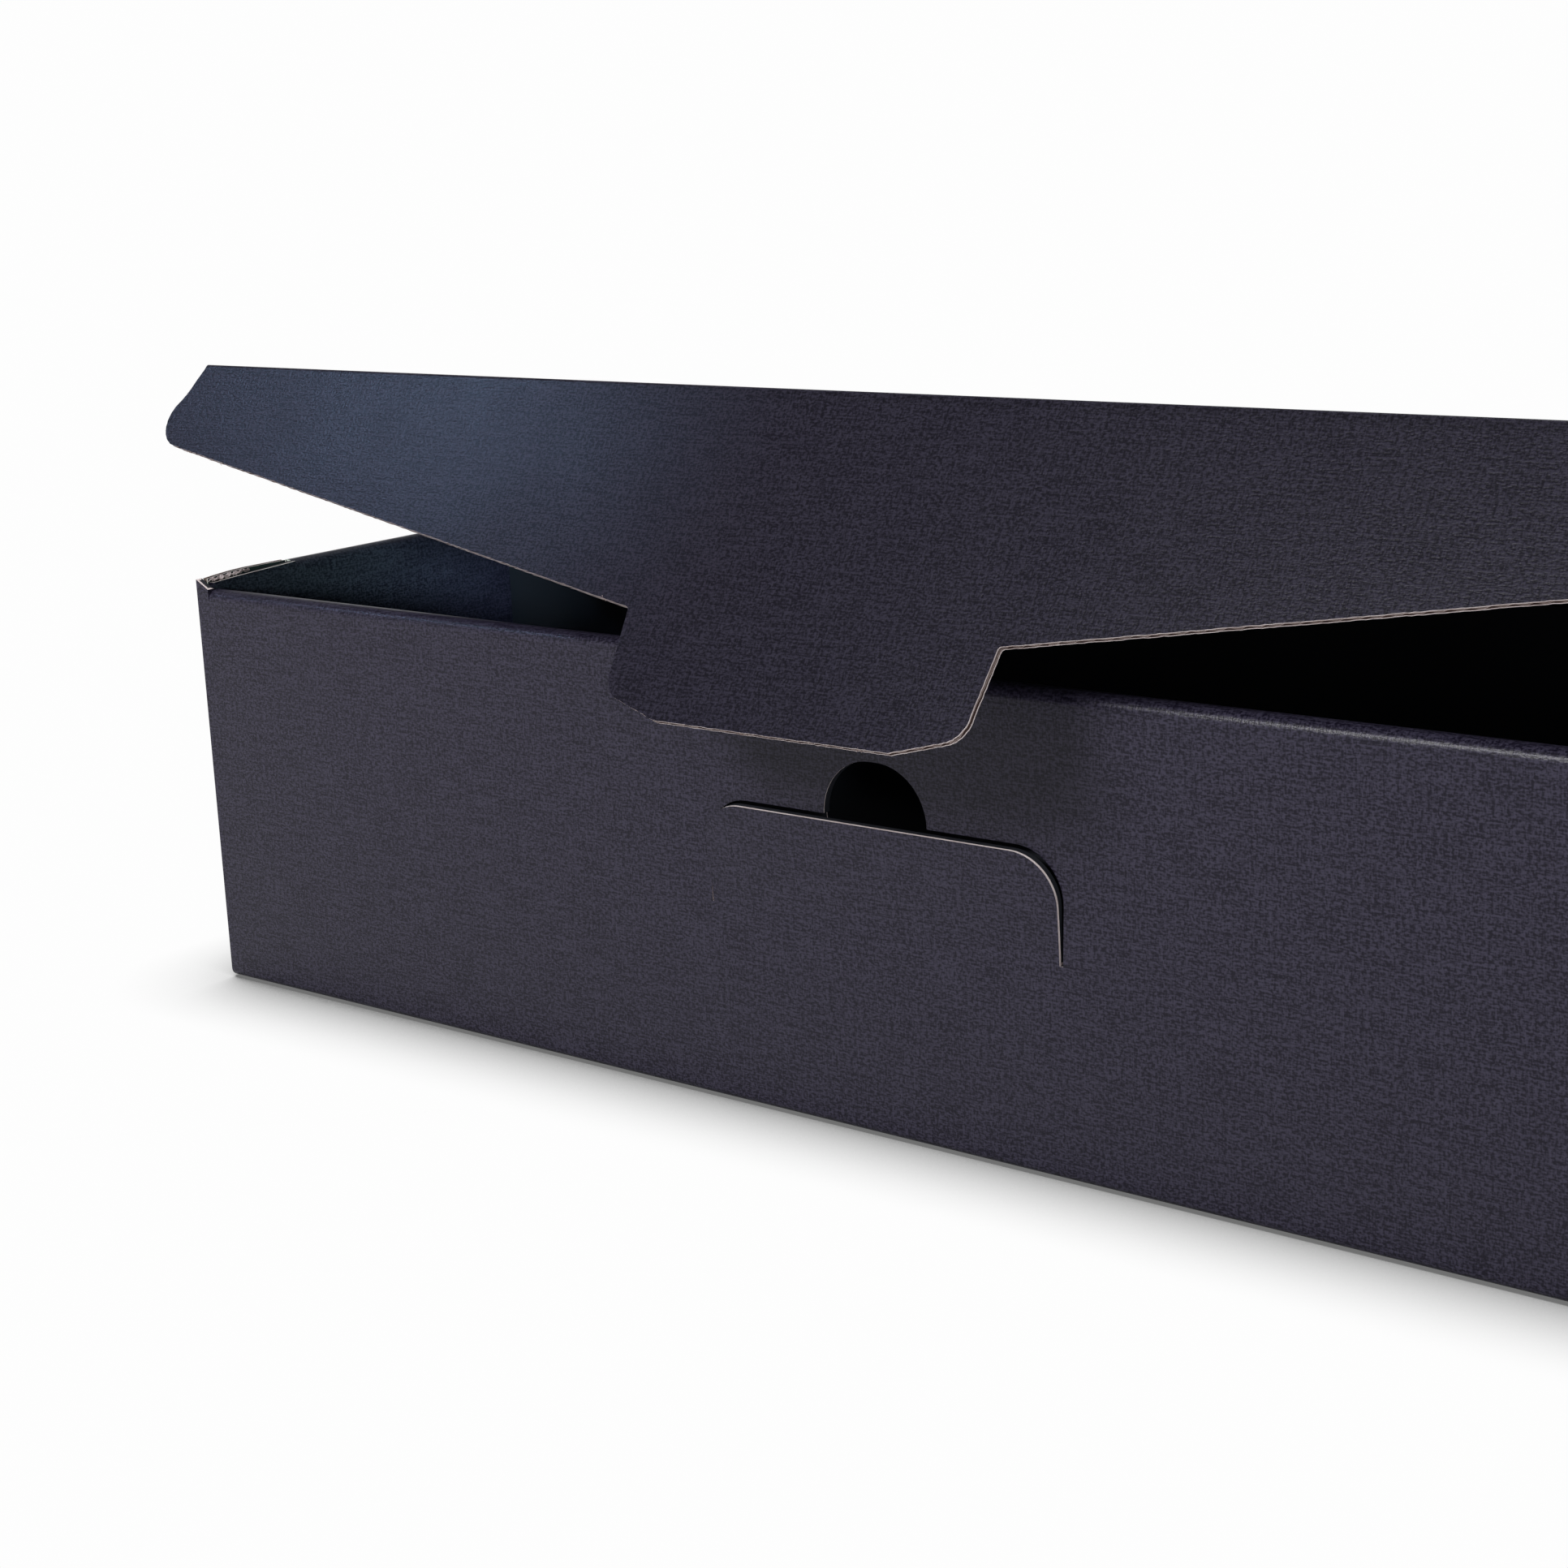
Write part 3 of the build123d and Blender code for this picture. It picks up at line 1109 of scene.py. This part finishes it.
    def _slots(self, sheet: CardSheet) -> None:
        """Cut the slots of the locking tabs in the base."""
        play = self.lock_slot_play
        slots = [oblong(x, y, wide + play, deep + play) for x, y, wide, deep in self.lock_places()]
        sheet.mark(Edge.DARK, sheet.pierce(self.on_base(0, 0), -UP, slots, self.on_base))

    def side_wall(self, end: End) -> CardSheet:
        """Fold one side wall: rolled over along most of its top, with raw edges by the corners."""
        box, sign = self.sizes, end.value
        sheet = CardSheet(f"{end.name.lower()}_side_wall", self.board, UP)
        roll_start, roll_end = box.front + self.roll_front_setback, box.back - self.roll_back_setback
        inner, top = box.side - box.rolled_width, box.side_height
        raw_top, rise = top - box.raw_edge_drop, top - box.roll_radius
        foot = [(box.side, 0.0), (box.strip_half, 0.0)]
        rolled = [(inner, box.panel_foot), (inner, top), (box.side, top), *foot]
        plain = [(box.side, raw_top), (box.side, rise), *foot]
        outward = ALONG * sign

        def folded(line: Line, radii: Sequence[float], start: float, stop: float) -> None:
            """Add one stretch of the wall."""
            path = [Vector((sign * x, start, z)) for x, z in line]
            sheet.strip(path, radii, BACK * (stop - start), -UP)

        folded(rolled, [box.roll_radius, box.roll_radius, box.crease_radius], roll_start, roll_end)
        folded(plain, [0.0, box.crease_radius], box.panel_front, roll_start)
        folded(plain, [0.0, box.crease_radius], roll_end, box.back)

        def on_inside(along: float, up: float) -> Vector:
            """A point of the inner panel, on the side of the bottle."""
            return Vector((sign * inner, along, up))

        def on_inner_panel(at: Vector) -> bool:
            """Whether a point is on the inner panel."""
            return abs(at.x) < box.side - box.board

        front_stop = box.front + box.rolled_width + box.layer_play
        back_stop = box.back - box.board - box.layer_play
        nose, nose_foot = box.panel_front + box.layer_play, top * self.nose_share
        low_top = raw_top - self.bevel_drop
        ahead = [Corner(roll_start, box.panel_foot), Corner(roll_start, rise), Corner(roll_start, raw_top),
                 Corner(nose, low_top), Corner(nose, nose_foot), Corner(front_stop, nose_foot),
                 Corner(front_stop, box.panel_foot)]
        behind = [Corner(roll_end, box.panel_foot), Corner(roll_end, rise), Corner(roll_end, raw_top),
                  Corner(back_stop, low_top), Corner(back_stop, box.panel_foot)]
        for corners in (ahead, behind):
            sheet.panel(corners, on_inside, -outward)
        self._pinch(sheet, outward, roll_start, front_stop)
        self._dip(sheet)
        sheet.mark_where(
            Edge.PALE, lambda at: on_inner_panel(at) and at.z > nose_foot - NEAR and at.y < roll_start + NEAR)
        sheet.mark_where(Edge.INKED, lambda at: on_inner_panel(at) and at.y < nose + NEAR)
        return sheet

    def _dip(self, sheet: CardSheet) -> None:
        """Let the outer panel's raw edge sink to the front corner."""
        box = self.sizes
        start, run = box.panel_front, self.rim_dip_run
        low = box.side_height - box.raw_edge_drop - NEAR

        def sink(at: Vector) -> Vector:
            """How far a point of the raw edge sinks."""
            share = max(0.0, 1 - (at.y - start) / run)
            raw = abs(at.x) > box.side - NEAR and at.z > low
            return -UP * (self.rim_dip * share ** self.rim_dip_curl) if raw else Vector()

        sheet.slice([BACK * (start + run * share) for share in self.rim_dip_shares], BACK)
        sheet.bend(sink)

    def _pinch(self, sheet: CardSheet, outward: Vector, start: float, stop: float) -> None:
        """Press the inner panel against the outer one at the front corner.

        Args:
            sheet: The side wall.
            outward: Which way the wall faces.
            start: Where the roll starts behind the front.
            stop: Where the inner panel ends at the front.
        """
        box = self.sizes
        low = self.pinch_shares[0]
        steps = [start + (stop - start) * step / self.pinch_steps for step in range(1, self.pinch_steps)]
        sheet.slice([BACK * step for step in steps], BACK)
        sheet.slice([UP * (box.side_height * share) for share in self.pinch_shares], UP)

        def ease(share: float) -> float:
            """Smooth start and stop."""
            share = min(max(share, 0.0), 1.0)
            return share * share * (3 - 2 * share)

        def press(at: Vector) -> Vector:
            """How far a point of the inner panel gives way."""
            inside = abs(at.x) < box.side - box.rolled_width + NEAR
            height = (at.z / box.side_height - low) / (1 - low)
            share = ease((start - at.y) / (start - stop)) * ease(height)
            return outward * self.pinch * share if inside else Vector()

        sheet.bend(press)

    def ears(self, end: End) -> CardSheet:
        """Lay one end's ears in the rolled walls."""
        box, sign = self.sizes, end.value
        sheet = CardSheet(f"{end.name.lower()}_ears", self.board, UP)
        low = box.board + self.ear_clearance
        depth = box.board + box.layer_play

        def corners(root: float, tip: float, height: float) -> list[Corner]:
            """An ear's outline, narrower at its free end."""
            high = height - box.rolled_width / 2 - self.ear_clearance
            return [Corner(root, low), Corner(tip, low + self.ear_taper, self.ear_corner),
                    Corner(tip, high - self.ear_taper, self.ear_corner), Corner(root, high)]

        front_root = sign * (box.side - box.board)
        front = corners(front_root, sign * (box.side - self.ear_length), box.front_height)
        sheet.panel(front, lambda along, up: Vector((along, box.front + depth, up)), -BACK)
        back = corners(box.back - box.board, box.back - self.ear_length, box.side_height)
        across = sign * (box.side - depth)
        sheet.panel(back, lambda along, up: Vector((across, along, up)), ALONG * sign)
        return sheet

    def torn_liner(self, end: End, finishes: Finishes) -> bpy.types.Object:
        """Lay the torn paper that shows between the panels of a front corner.

        Args:
            end: Which end of the box.
            finishes: The finishes of the board.

        Returns:
            The piece.
        """
        box, torn, mesh = self.sizes, self.torn, bmesh.new()
        start, slope = box.panel_front, self.rim_dip / torn.length
        bmesh.ops.create_grid(mesh, x_segments=torn.strips, y_segments=torn.rows, size=0.5)
        for vert in mesh.verts:
            share = vert.co.y + 0.5
            taper = 1.0 - torn.taper * share ** 2
            across = box.side - box.board - torn.gap - torn.width * (0.5 + vert.co.x * taper)
            top = box.corner_top - torn.sink + slope * share * torn.length + random.uniform(*torn.rise)
            along = start + share * torn.length + random.uniform(-torn.stray, torn.stray)
            vert.co = Vector((end.value * across, along, top))
        bmesh.ops.solidify(mesh, geom=mesh.faces[:], thickness=self.board.medium)
        bmesh.ops.recalc_face_normals(mesh, faces=mesh.faces[:])
        return new_object(f"{end.name.lower()}_torn_liner", mesh, [finishes.sheet[Skin.CUT]])

    def lock_tabs(self) -> CardSheet:
        """Stand the locking tabs in the base's slots."""
        lift = self.lock_tab_lift
        rise = UP * (self.sizes.panel_foot - lift)
        sheet = CardSheet("lock_tabs", self.board, ALONG)
        for x, y, wide, deep in self.lock_places():
            if wide > deep:
                start, run, facing = Vector((x - wide, y + deep, lift)), ALONG * 2 * wide, BACK
            else:
                sign = math.copysign(1, x)
                start, run, facing = Vector((x - sign * wide, y - deep, lift)), BACK * 2 * deep, ALONG * -sign
            sheet.strip([start, start + rise], [], run, facing)
        return sheet

    def build(self, finishes: Finishes) -> None:
        """Make the tray's sheets and put them on the tray's body."""
        sheets = [self.base(), self.front_wall(), *(self.side_wall(end) for end in End),
                  *(self.ears(end) for end in End), self.lock_tabs()]
        for sheet in sheets:
            settle_sheet(sheet, finishes, "tray", "folded_tray")
        for end in End:
            settle(self.torn_liner(end, finishes), "tray", "folded_tray")


@dataclass
class Hinges:
    """The two creases that turn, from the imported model's joints."""

    lid: Vector
    fold: Vector
    open_angle: float
    splay_angle: float

    @classmethod
    def read(cls, joints: Sequence[dict[str, Any]]) -> Hinges:
        """Read the creases.

        Args:
            joints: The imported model's joints.

        Returns:
            The creases at rest.
        """
        named = {joint["name"]: joint for joint in joints}
        lid, flap = named["lid_hinge"], named["flap_hinge"]
        return cls(Vector(lid["pos_m"]), Vector(flap["pos_m"]), math.radians(-lid["range_deg"][0]),
                   math.radians(-flap["range_deg"][0]))

    @property
    def reach(self) -> float:
        """From the lid's crease to the flap's."""
        return (self.fold - self.lid).length

    @property
    def shut_fold(self) -> Vector:
        """The flap's crease with the lid shut."""
        return self.lid - BACK * self.reach

    def open_lid(self, sheet: CardSheet) -> None:
        """Turn a sheet up with the lid."""
        sheet.turn(-self.open_angle, self.lid)

    def splay_flap(self, sheet: CardSheet) -> None:
        """Turn a sheet out with the flap and up with the lid."""
        sheet.turn(-self.splay_angle, self.shut_fold)
        self.open_lid(sheet)


@dataclass
class Lid:
    """The lid panel, between its two creases."""

    sizes: BoxSizes
    board: Board
    hinges: Hinges
    inset: float = 1.8 * MM
    crease_gap: float = 0.2 * MM

    @property
    def half_width(self) -> float:
        """Half the lid's length along the box."""
        return self.sizes.side - self.inset

    def build(self, finishes: Finishes) -> None:
        """Make the lid and put it on its body."""
        sheet = CardSheet("lid_card", self.board, ALONG)
        half, top = self.half_width, self.hinges.lid.z + self.board.thickness / 2
        front = self.hinges.shut_fold.y + self.board.thickness / 2 + self.crease_gap
        back = self.hinges.lid.y
        corners = oblong(0.0, (front + back) / 2, half, (back - front) / 2)
        sheet.panel(corners, lambda across, up: Vector((across, up, top)), UP)
        for line in (front, back):
            sheet.mark_where(Edge.INKED, lambda at, line=line: abs(at.y - line) < NEAR)
        settle_sheet(sheet, finishes, "lid", "lid_panel", self.hinges.open_lid)


@dataclass
class ClosingFlap:
    """The closing flap: flared ends, sloping shoulders and a tapered tongue."""

    lid: Lid
    board: Board
    hinges: Hinges
    waist: Corner = Corner(2.7 * MM, 6.8 * MM, 14 * MM)
    end: Corner = Corner(9.9 * MM, 17.1 * MM, 6.1 * MM)
    shoulder: Corner = Corner(40.6 * MM, 44.05 * MM, 0.8 * MM)
    tongue: Corner = Corner(39.2 * MM, 60.5 * MM, 5 * MM)
    tip: Corner = Corner(25.8 * MM, 64.5 * MM, 1.5 * MM)
    edge: Board = Board(thickness=1.3 * MM, liner=0.26 * MM)
    tufts: Tufts = Tufts(per_metre=26.0)
    ragged_step: float = 0.9 * MM
    ragged_reach: float = 0.06 * MM

    def corners(self) -> list[Corner]:
        """The flap's outline, down from its crease."""
        half = self.lid.half_width
        flared = [Corner(half + corner.across, corner.up, corner.radius) for corner in (self.waist, self.end)]
        right = [Corner(half, 0.0), *flared, self.shoulder, self.tongue, self.tip]
        return right + [Corner(-corner.across, corner.up, corner.radius) for corner in reversed(right)]

    def build(self, finishes: Finishes) -> None:
        """Make the flap and put it on its body."""
        sheet = CardSheet("flap_card", self.edge, ALONG, self.tufts)
        fold = self.hinges.shut_fold
        face = fold.y - self.board.thickness / 2
        sheet.panel(self.corners(), lambda across, down: Vector((across, face, fold.z - down)), -BACK)
        sheet.roughen(self.ragged_step, self.ragged_reach)
        sheet.mark_where(Edge.INKED, lambda at: at.z > fold.z - 2 * self.ragged_reach)
        settle_sheet(sheet, finishes, "flap", "closing_flap", self.hinges.splay_flap)


@dataclass
class Crease:
    """Printed paper that runs over a turning fold from one panel to the next."""

    name: str
    bodies: tuple[str, str]
    axis: Vector
    start_angle: float
    stop_angle: float
    half_width: float
    board: Board
    overlap: float = 1.6 * MM
    lift: float = 0.012 * MM
    tuck: float = 0.072 * MM
    tuck_share: float = 0.9
    paper: float = 0.25 * MM
    steps: int = 30
    sharp: float = 12.0

    def build(self, finishes: Finishes) -> None:
        """Make the paper, curved round the fold from one panel to the next."""
        radius = self.board.thickness / 2 + self.lift
        sunk = radius - self.tuck

        def spoke(angle: float, reach: float, along: float) -> Vector:
            """A point off the crease's axis, and along the panel there."""
            out, tangent = self.way(angle), self.way(angle + math.pi / 2)
            return self.axis + out * reach + tangent * along

        turn = (self.stop_angle - self.start_angle) / self.steps
        angles = [self.start_angle + turn * step for step in range(self.steps + 1)]
        first, last, near = angles[0], angles[-1], self.overlap * self.tuck_share
        path = [spoke(first, sunk, -self.overlap), spoke(first, radius, -near)]
        path += [spoke(angle, radius, 0.0) for angle in angles]
        path += [spoke(last, radius, near), spoke(last, sunk, self.overlap)]
        sheet = CardSheet(self.name, self.board, ALONG)
        shift = ALONG * self.half_width
        bends = [0.0] * (len(path) - 2)
        sheet.strip([point - shift for point in path], bends, 2 * shift, self.way(last))
        bmesh.ops.solidify(sheet.mesh, geom=sheet.mesh.faces[:], thickness=self.paper)
        sheet.unfold()
        sheet.core.free()
        sheet.mesh.edges.layers.int.remove(sheet.knife)
        made = new_object(self.name, sheet.mesh, [finishes.linen], self.sharp)
        spoke(first, radius, 0.0)
        spoke(last, radius, 0.0)
        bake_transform(made)
        LOG.info("%s between %s and %s", self.name, *self.bodies)

    @staticmethod
    def way(angle: float) -> Vector:
        """A direction across X, counted from +Y towards +Z."""
        return Vector((0, math.cos(angle), math.sin(angle)))


# Stage


class LampKind(Enum):
    """The kinds of lamp in the studio."""

    SUN = "SUN"
    SOFTBOX = "AREA"
    SPOT = "SPOT"


@dataclass(frozen=True)
class Lamp:
    """One lamp: where it hangs, what it shines at and, where not everything, which pieces it lights."""

    name: str
    kind: LampKind
    power: float
    place: Triple
    aim: Triple
    sides: tuple[float, float] = (0.5, 0.5)
    beam_degrees: float = 36.0
    soft_edge: float = 1.0
    bulb: float = 0.03
    colour: Triple = (1.0, 1.0, 1.0)
    only: tuple[str, ...] = ()

    def hang(self) -> None:
        """Hang the lamp in the scene."""
        data = bpy.data.lights.new(self.name, self.kind.value)
        data.energy, data.color = self.power, self.colour
        if self.kind is LampKind.SUN:
            data.angle = math.radians(self.beam_degrees)
        elif self.kind is LampKind.SOFTBOX:
            data.shape = "RECTANGLE"
            data.size, data.size_y = self.sides
        else:
            data.spot_size, data.spot_blend = math.radians(self.beam_degrees), self.soft_edge
            data.shadow_soft_size = self.bulb
        made = bpy.data.objects.new(self.name, data)
        made.location = self.place
        made.rotation_mode = "QUATERNION"
        made.rotation_quaternion = (Vector(self.aim) - Vector(self.place)).to_track_quat("-Z", "Y")
        bpy.context.scene.collection.objects.link(made)
        if self.only:
            lit = bpy.data.collections.new(self.name)
            for piece in self.only:
                lit.objects.link(bpy.data.objects[piece])
            made.light_linking.receiver_collection = lit


IN_THE_GAP: Triple = (0.19, -0.26, 0.133)
INNER_WALLS = ("left_side_wall", "base_and_back")
LAMPS = (
    Lamp("overhead", LampKind.SUN, 2.0, (0.0, 0.276, 0.961), (0.0, 0.0, 0.0)),
    Lamp("strip_softbox", LampKind.SOFTBOX, 4.0, (-0.25, -0.92, 0.81), (0.15, -0.046, 0.087), (0.4, 0.25)),
    Lamp("low_softbox", LampKind.SOFTBOX, 7.5, (-0.22, -0.86, 0.61), (0.1, -0.045, 0.088), (0.44, 0.2),
         only=("front_wall",)),
    Lamp("right_fill", LampKind.SOFTBOX, 3.2, (1.0, -0.6, 0.45), (0.05, -0.04, 0.09),
         only=("front_wall", "flap_card", "flap_card_flutes")),
    Lamp("side_glow", LampKind.SPOT, 14.5, (-1.15, -0.70, 1.09), (-0.156, -0.0249, 0.1558),
         beam_degrees=5.8, soft_edge=0.4, colour=(0.42, 0.64, 1.0)),
    Lamp("inner_glow", LampKind.SPOT, 11.5, IN_THE_GAP, (-0.181, -0.002, 0.089),
         beam_degrees=11.0, colour=(0.57, 1.0, 0.75), only=INNER_WALLS),
    Lamp("inner_fill", LampKind.SPOT, 24.0, IN_THE_GAP, (-0.150, 0.045, 0.072),
         beam_degrees=13.0, colour=(0.6, 0.85, 1.0), only=INNER_WALLS),
)


@dataclass(frozen=True)
class Studio:
    """Plain pale floor, soft light and the photograph's camera."""

    floor_half: float = 4.0
    floor_drop: float = 0.2 * MM
    floor_grey: float = 0.88
    shade_reach: float = 29 * MM
    shade_samples: int = 24
    shade_stops: Line = ((0.50, 0.16), (0.54, 0.39), (0.62, 0.54), (0.71, 0.68), (0.87, 0.88), (1.0, 0.985))
    shadow_fade_start: float = -0.2
    shadow_fade_slope: float = 0.175
    shadow_fade_most: float = 0.065
    sky_colour: Triple = (0.97, 0.97, 1.0)
    sky_strength: float = 0.30
    backdrop: tuple[tuple[float, Triple], ...] = ((0.12, (0.985, 0.985, 0.985)), (0.42, (0.20, 0.20, 0.215)))
    camera_at: Triple = (0.3018, -0.4314, 0.1876)
    camera_right: Triple = (0.7729, 0.6331, -0.0428)
    camera_up: Triple = (-0.1189, 0.2107, 0.9703)
    camera_forward: Triple = (-0.6233, 0.7448, -0.2381)
    lens: float = 64.88
    sensor: float = 36.0
    clip: tuple[float, float] = (0.01, 50.0)

    def build(self) -> None:
        """Set the stage."""
        self._floor()
        self._world()
        for lamp in LAMPS:
            lamp.hang()
        self._camera()
        bpy.context.scene.view_settings.view_transform = "Standard"

    def _floor(self) -> None:
        """Lay the floor, which the picture shows as white, with a painted contact shadow: its shown emission
        is darkened by ambient occlusion near the box and fades lighter towards +X.
        """
        mesh = bmesh.new()
        bmesh.ops.create_grid(mesh, x_segments=1, y_segments=1, size=self.floor_half)
        bmesh.ops.translate(mesh, verts=mesh.verts[:], vec=-UP * self.floor_drop)
        made = bpy.data.materials.new("pale_floor")
        bench = NodeBench(made)
        lit = bench.node("ShaderNodeBsdfDiffuse", {}, {"Color": opaque((self.floor_grey,) * 3)})
        # Painted shadow: ambient occlusion darkens the floor's shown emission near the box.
        clear = bench.flow("ShaderNodeAmbientOcclusion", {"samples": self.shade_samples},
                           {"Distance": self.shade_reach}, "AO")
        place = bench.flow("ShaderNodeTexCoord", {}, {}, "Object")
        along = bench.flow("ShaderNodeSeparateXYZ", {}, {0: place}, "X")
        # The painted shadow fades lighter towards +X.
        shadow_fade = (along - self.shadow_fade_start) * self.shadow_fade_slope
        shadow_fade = shadow_fade.at_least(0.0).at_most(self.shadow_fade_most)
        stops = [(spot, opaque((grey,) * 3)) for spot, grey in self.shade_stops]
        shade = bench.flow("ShaderNodeValToRGB", {"stops": stops}, {"Fac": clear + shadow_fade})
        shown = bench.node("ShaderNodeEmission", {}, {"Color": shade, "Strength": 1.0})
        bench.surface(bench.swap_when_seen(lit, shown))
        new_object("floor", mesh, [made])

    def _world(self) -> None:
        """Light the scene evenly, with a backdrop that the picture shows as white below a darker ceiling."""
        world = bpy.data.worlds.new("pale_sky")
        bpy.context.scene.world = world
        bench = NodeBench(world)
        sky = {"Color": opaque(self.sky_colour), "Strength": self.sky_strength}
        light = bench.node("ShaderNodeBackground", {}, sky)
        way = bench.flow("ShaderNodeTexCoord", {}, {}, "Generated")
        height = bench.flow("ShaderNodeSeparateXYZ", {}, {0: way}, "Z")
        stops = [(spot, opaque(colour)) for spot, colour in self.backdrop]
        shown = bench.flow("ShaderNodeValToRGB", {"stops": stops}, {"Fac": height})
        white = bench.node("ShaderNodeBackground", {}, {"Color": shown, "Strength": 1.0})
        mixed = bench.swap_when_seen(light, white)
        bench.node("ShaderNodeOutputWorld", {}, {"Surface": mixed.outputs[0]})

    def _camera(self) -> None:
        """Stand the camera where the photograph was taken."""
        data = bpy.data.cameras.new("camera")
        data.lens, data.sensor_width = self.lens, self.sensor
        data.clip_start, data.clip_end = self.clip
        made = bpy.data.objects.new("camera", data)
        columns = (self.camera_right, self.camera_up, -Vector(self.camera_forward))
        made.matrix_world = Matrix.Translation(self.camera_at) @ Matrix(columns).transposed().to_4x4()
        bpy.context.scene.collection.objects.link(made)
        bpy.context.scene.camera = made


def main() -> None:
    """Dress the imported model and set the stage."""
    logging.basicConfig(level=logging.INFO, format="%(name)s: %(message)s")
    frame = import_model()
    random.seed(SEED)
    sizes, board, finishes = BoxSizes(), Board(), Finishes()
    hinges = Hinges.read(frame["joints"])
    Tray(sizes, board).build(finishes)
    lid = Lid(sizes, board, hinges)
    lid.build(finishes)
    ClosingFlap(lid, board, hinges).build(finishes)
    quarter = math.pi / 2
    lid_face = quarter - hinges.open_angle
    flap_face = lid_face + quarter - hinges.splay_angle
    half = lid.half_width
    for crease in (Crease("lid_crease", ("tray", "lid"), hinges.lid, 0.0, lid_face, half, board),
                   Crease("flap_crease", ("lid", "flap"), hinges.fold, lid_face, flap_face, half, board)):
        crease.build(finishes)
    Studio().build()


if __name__ == "__main__":
    main()
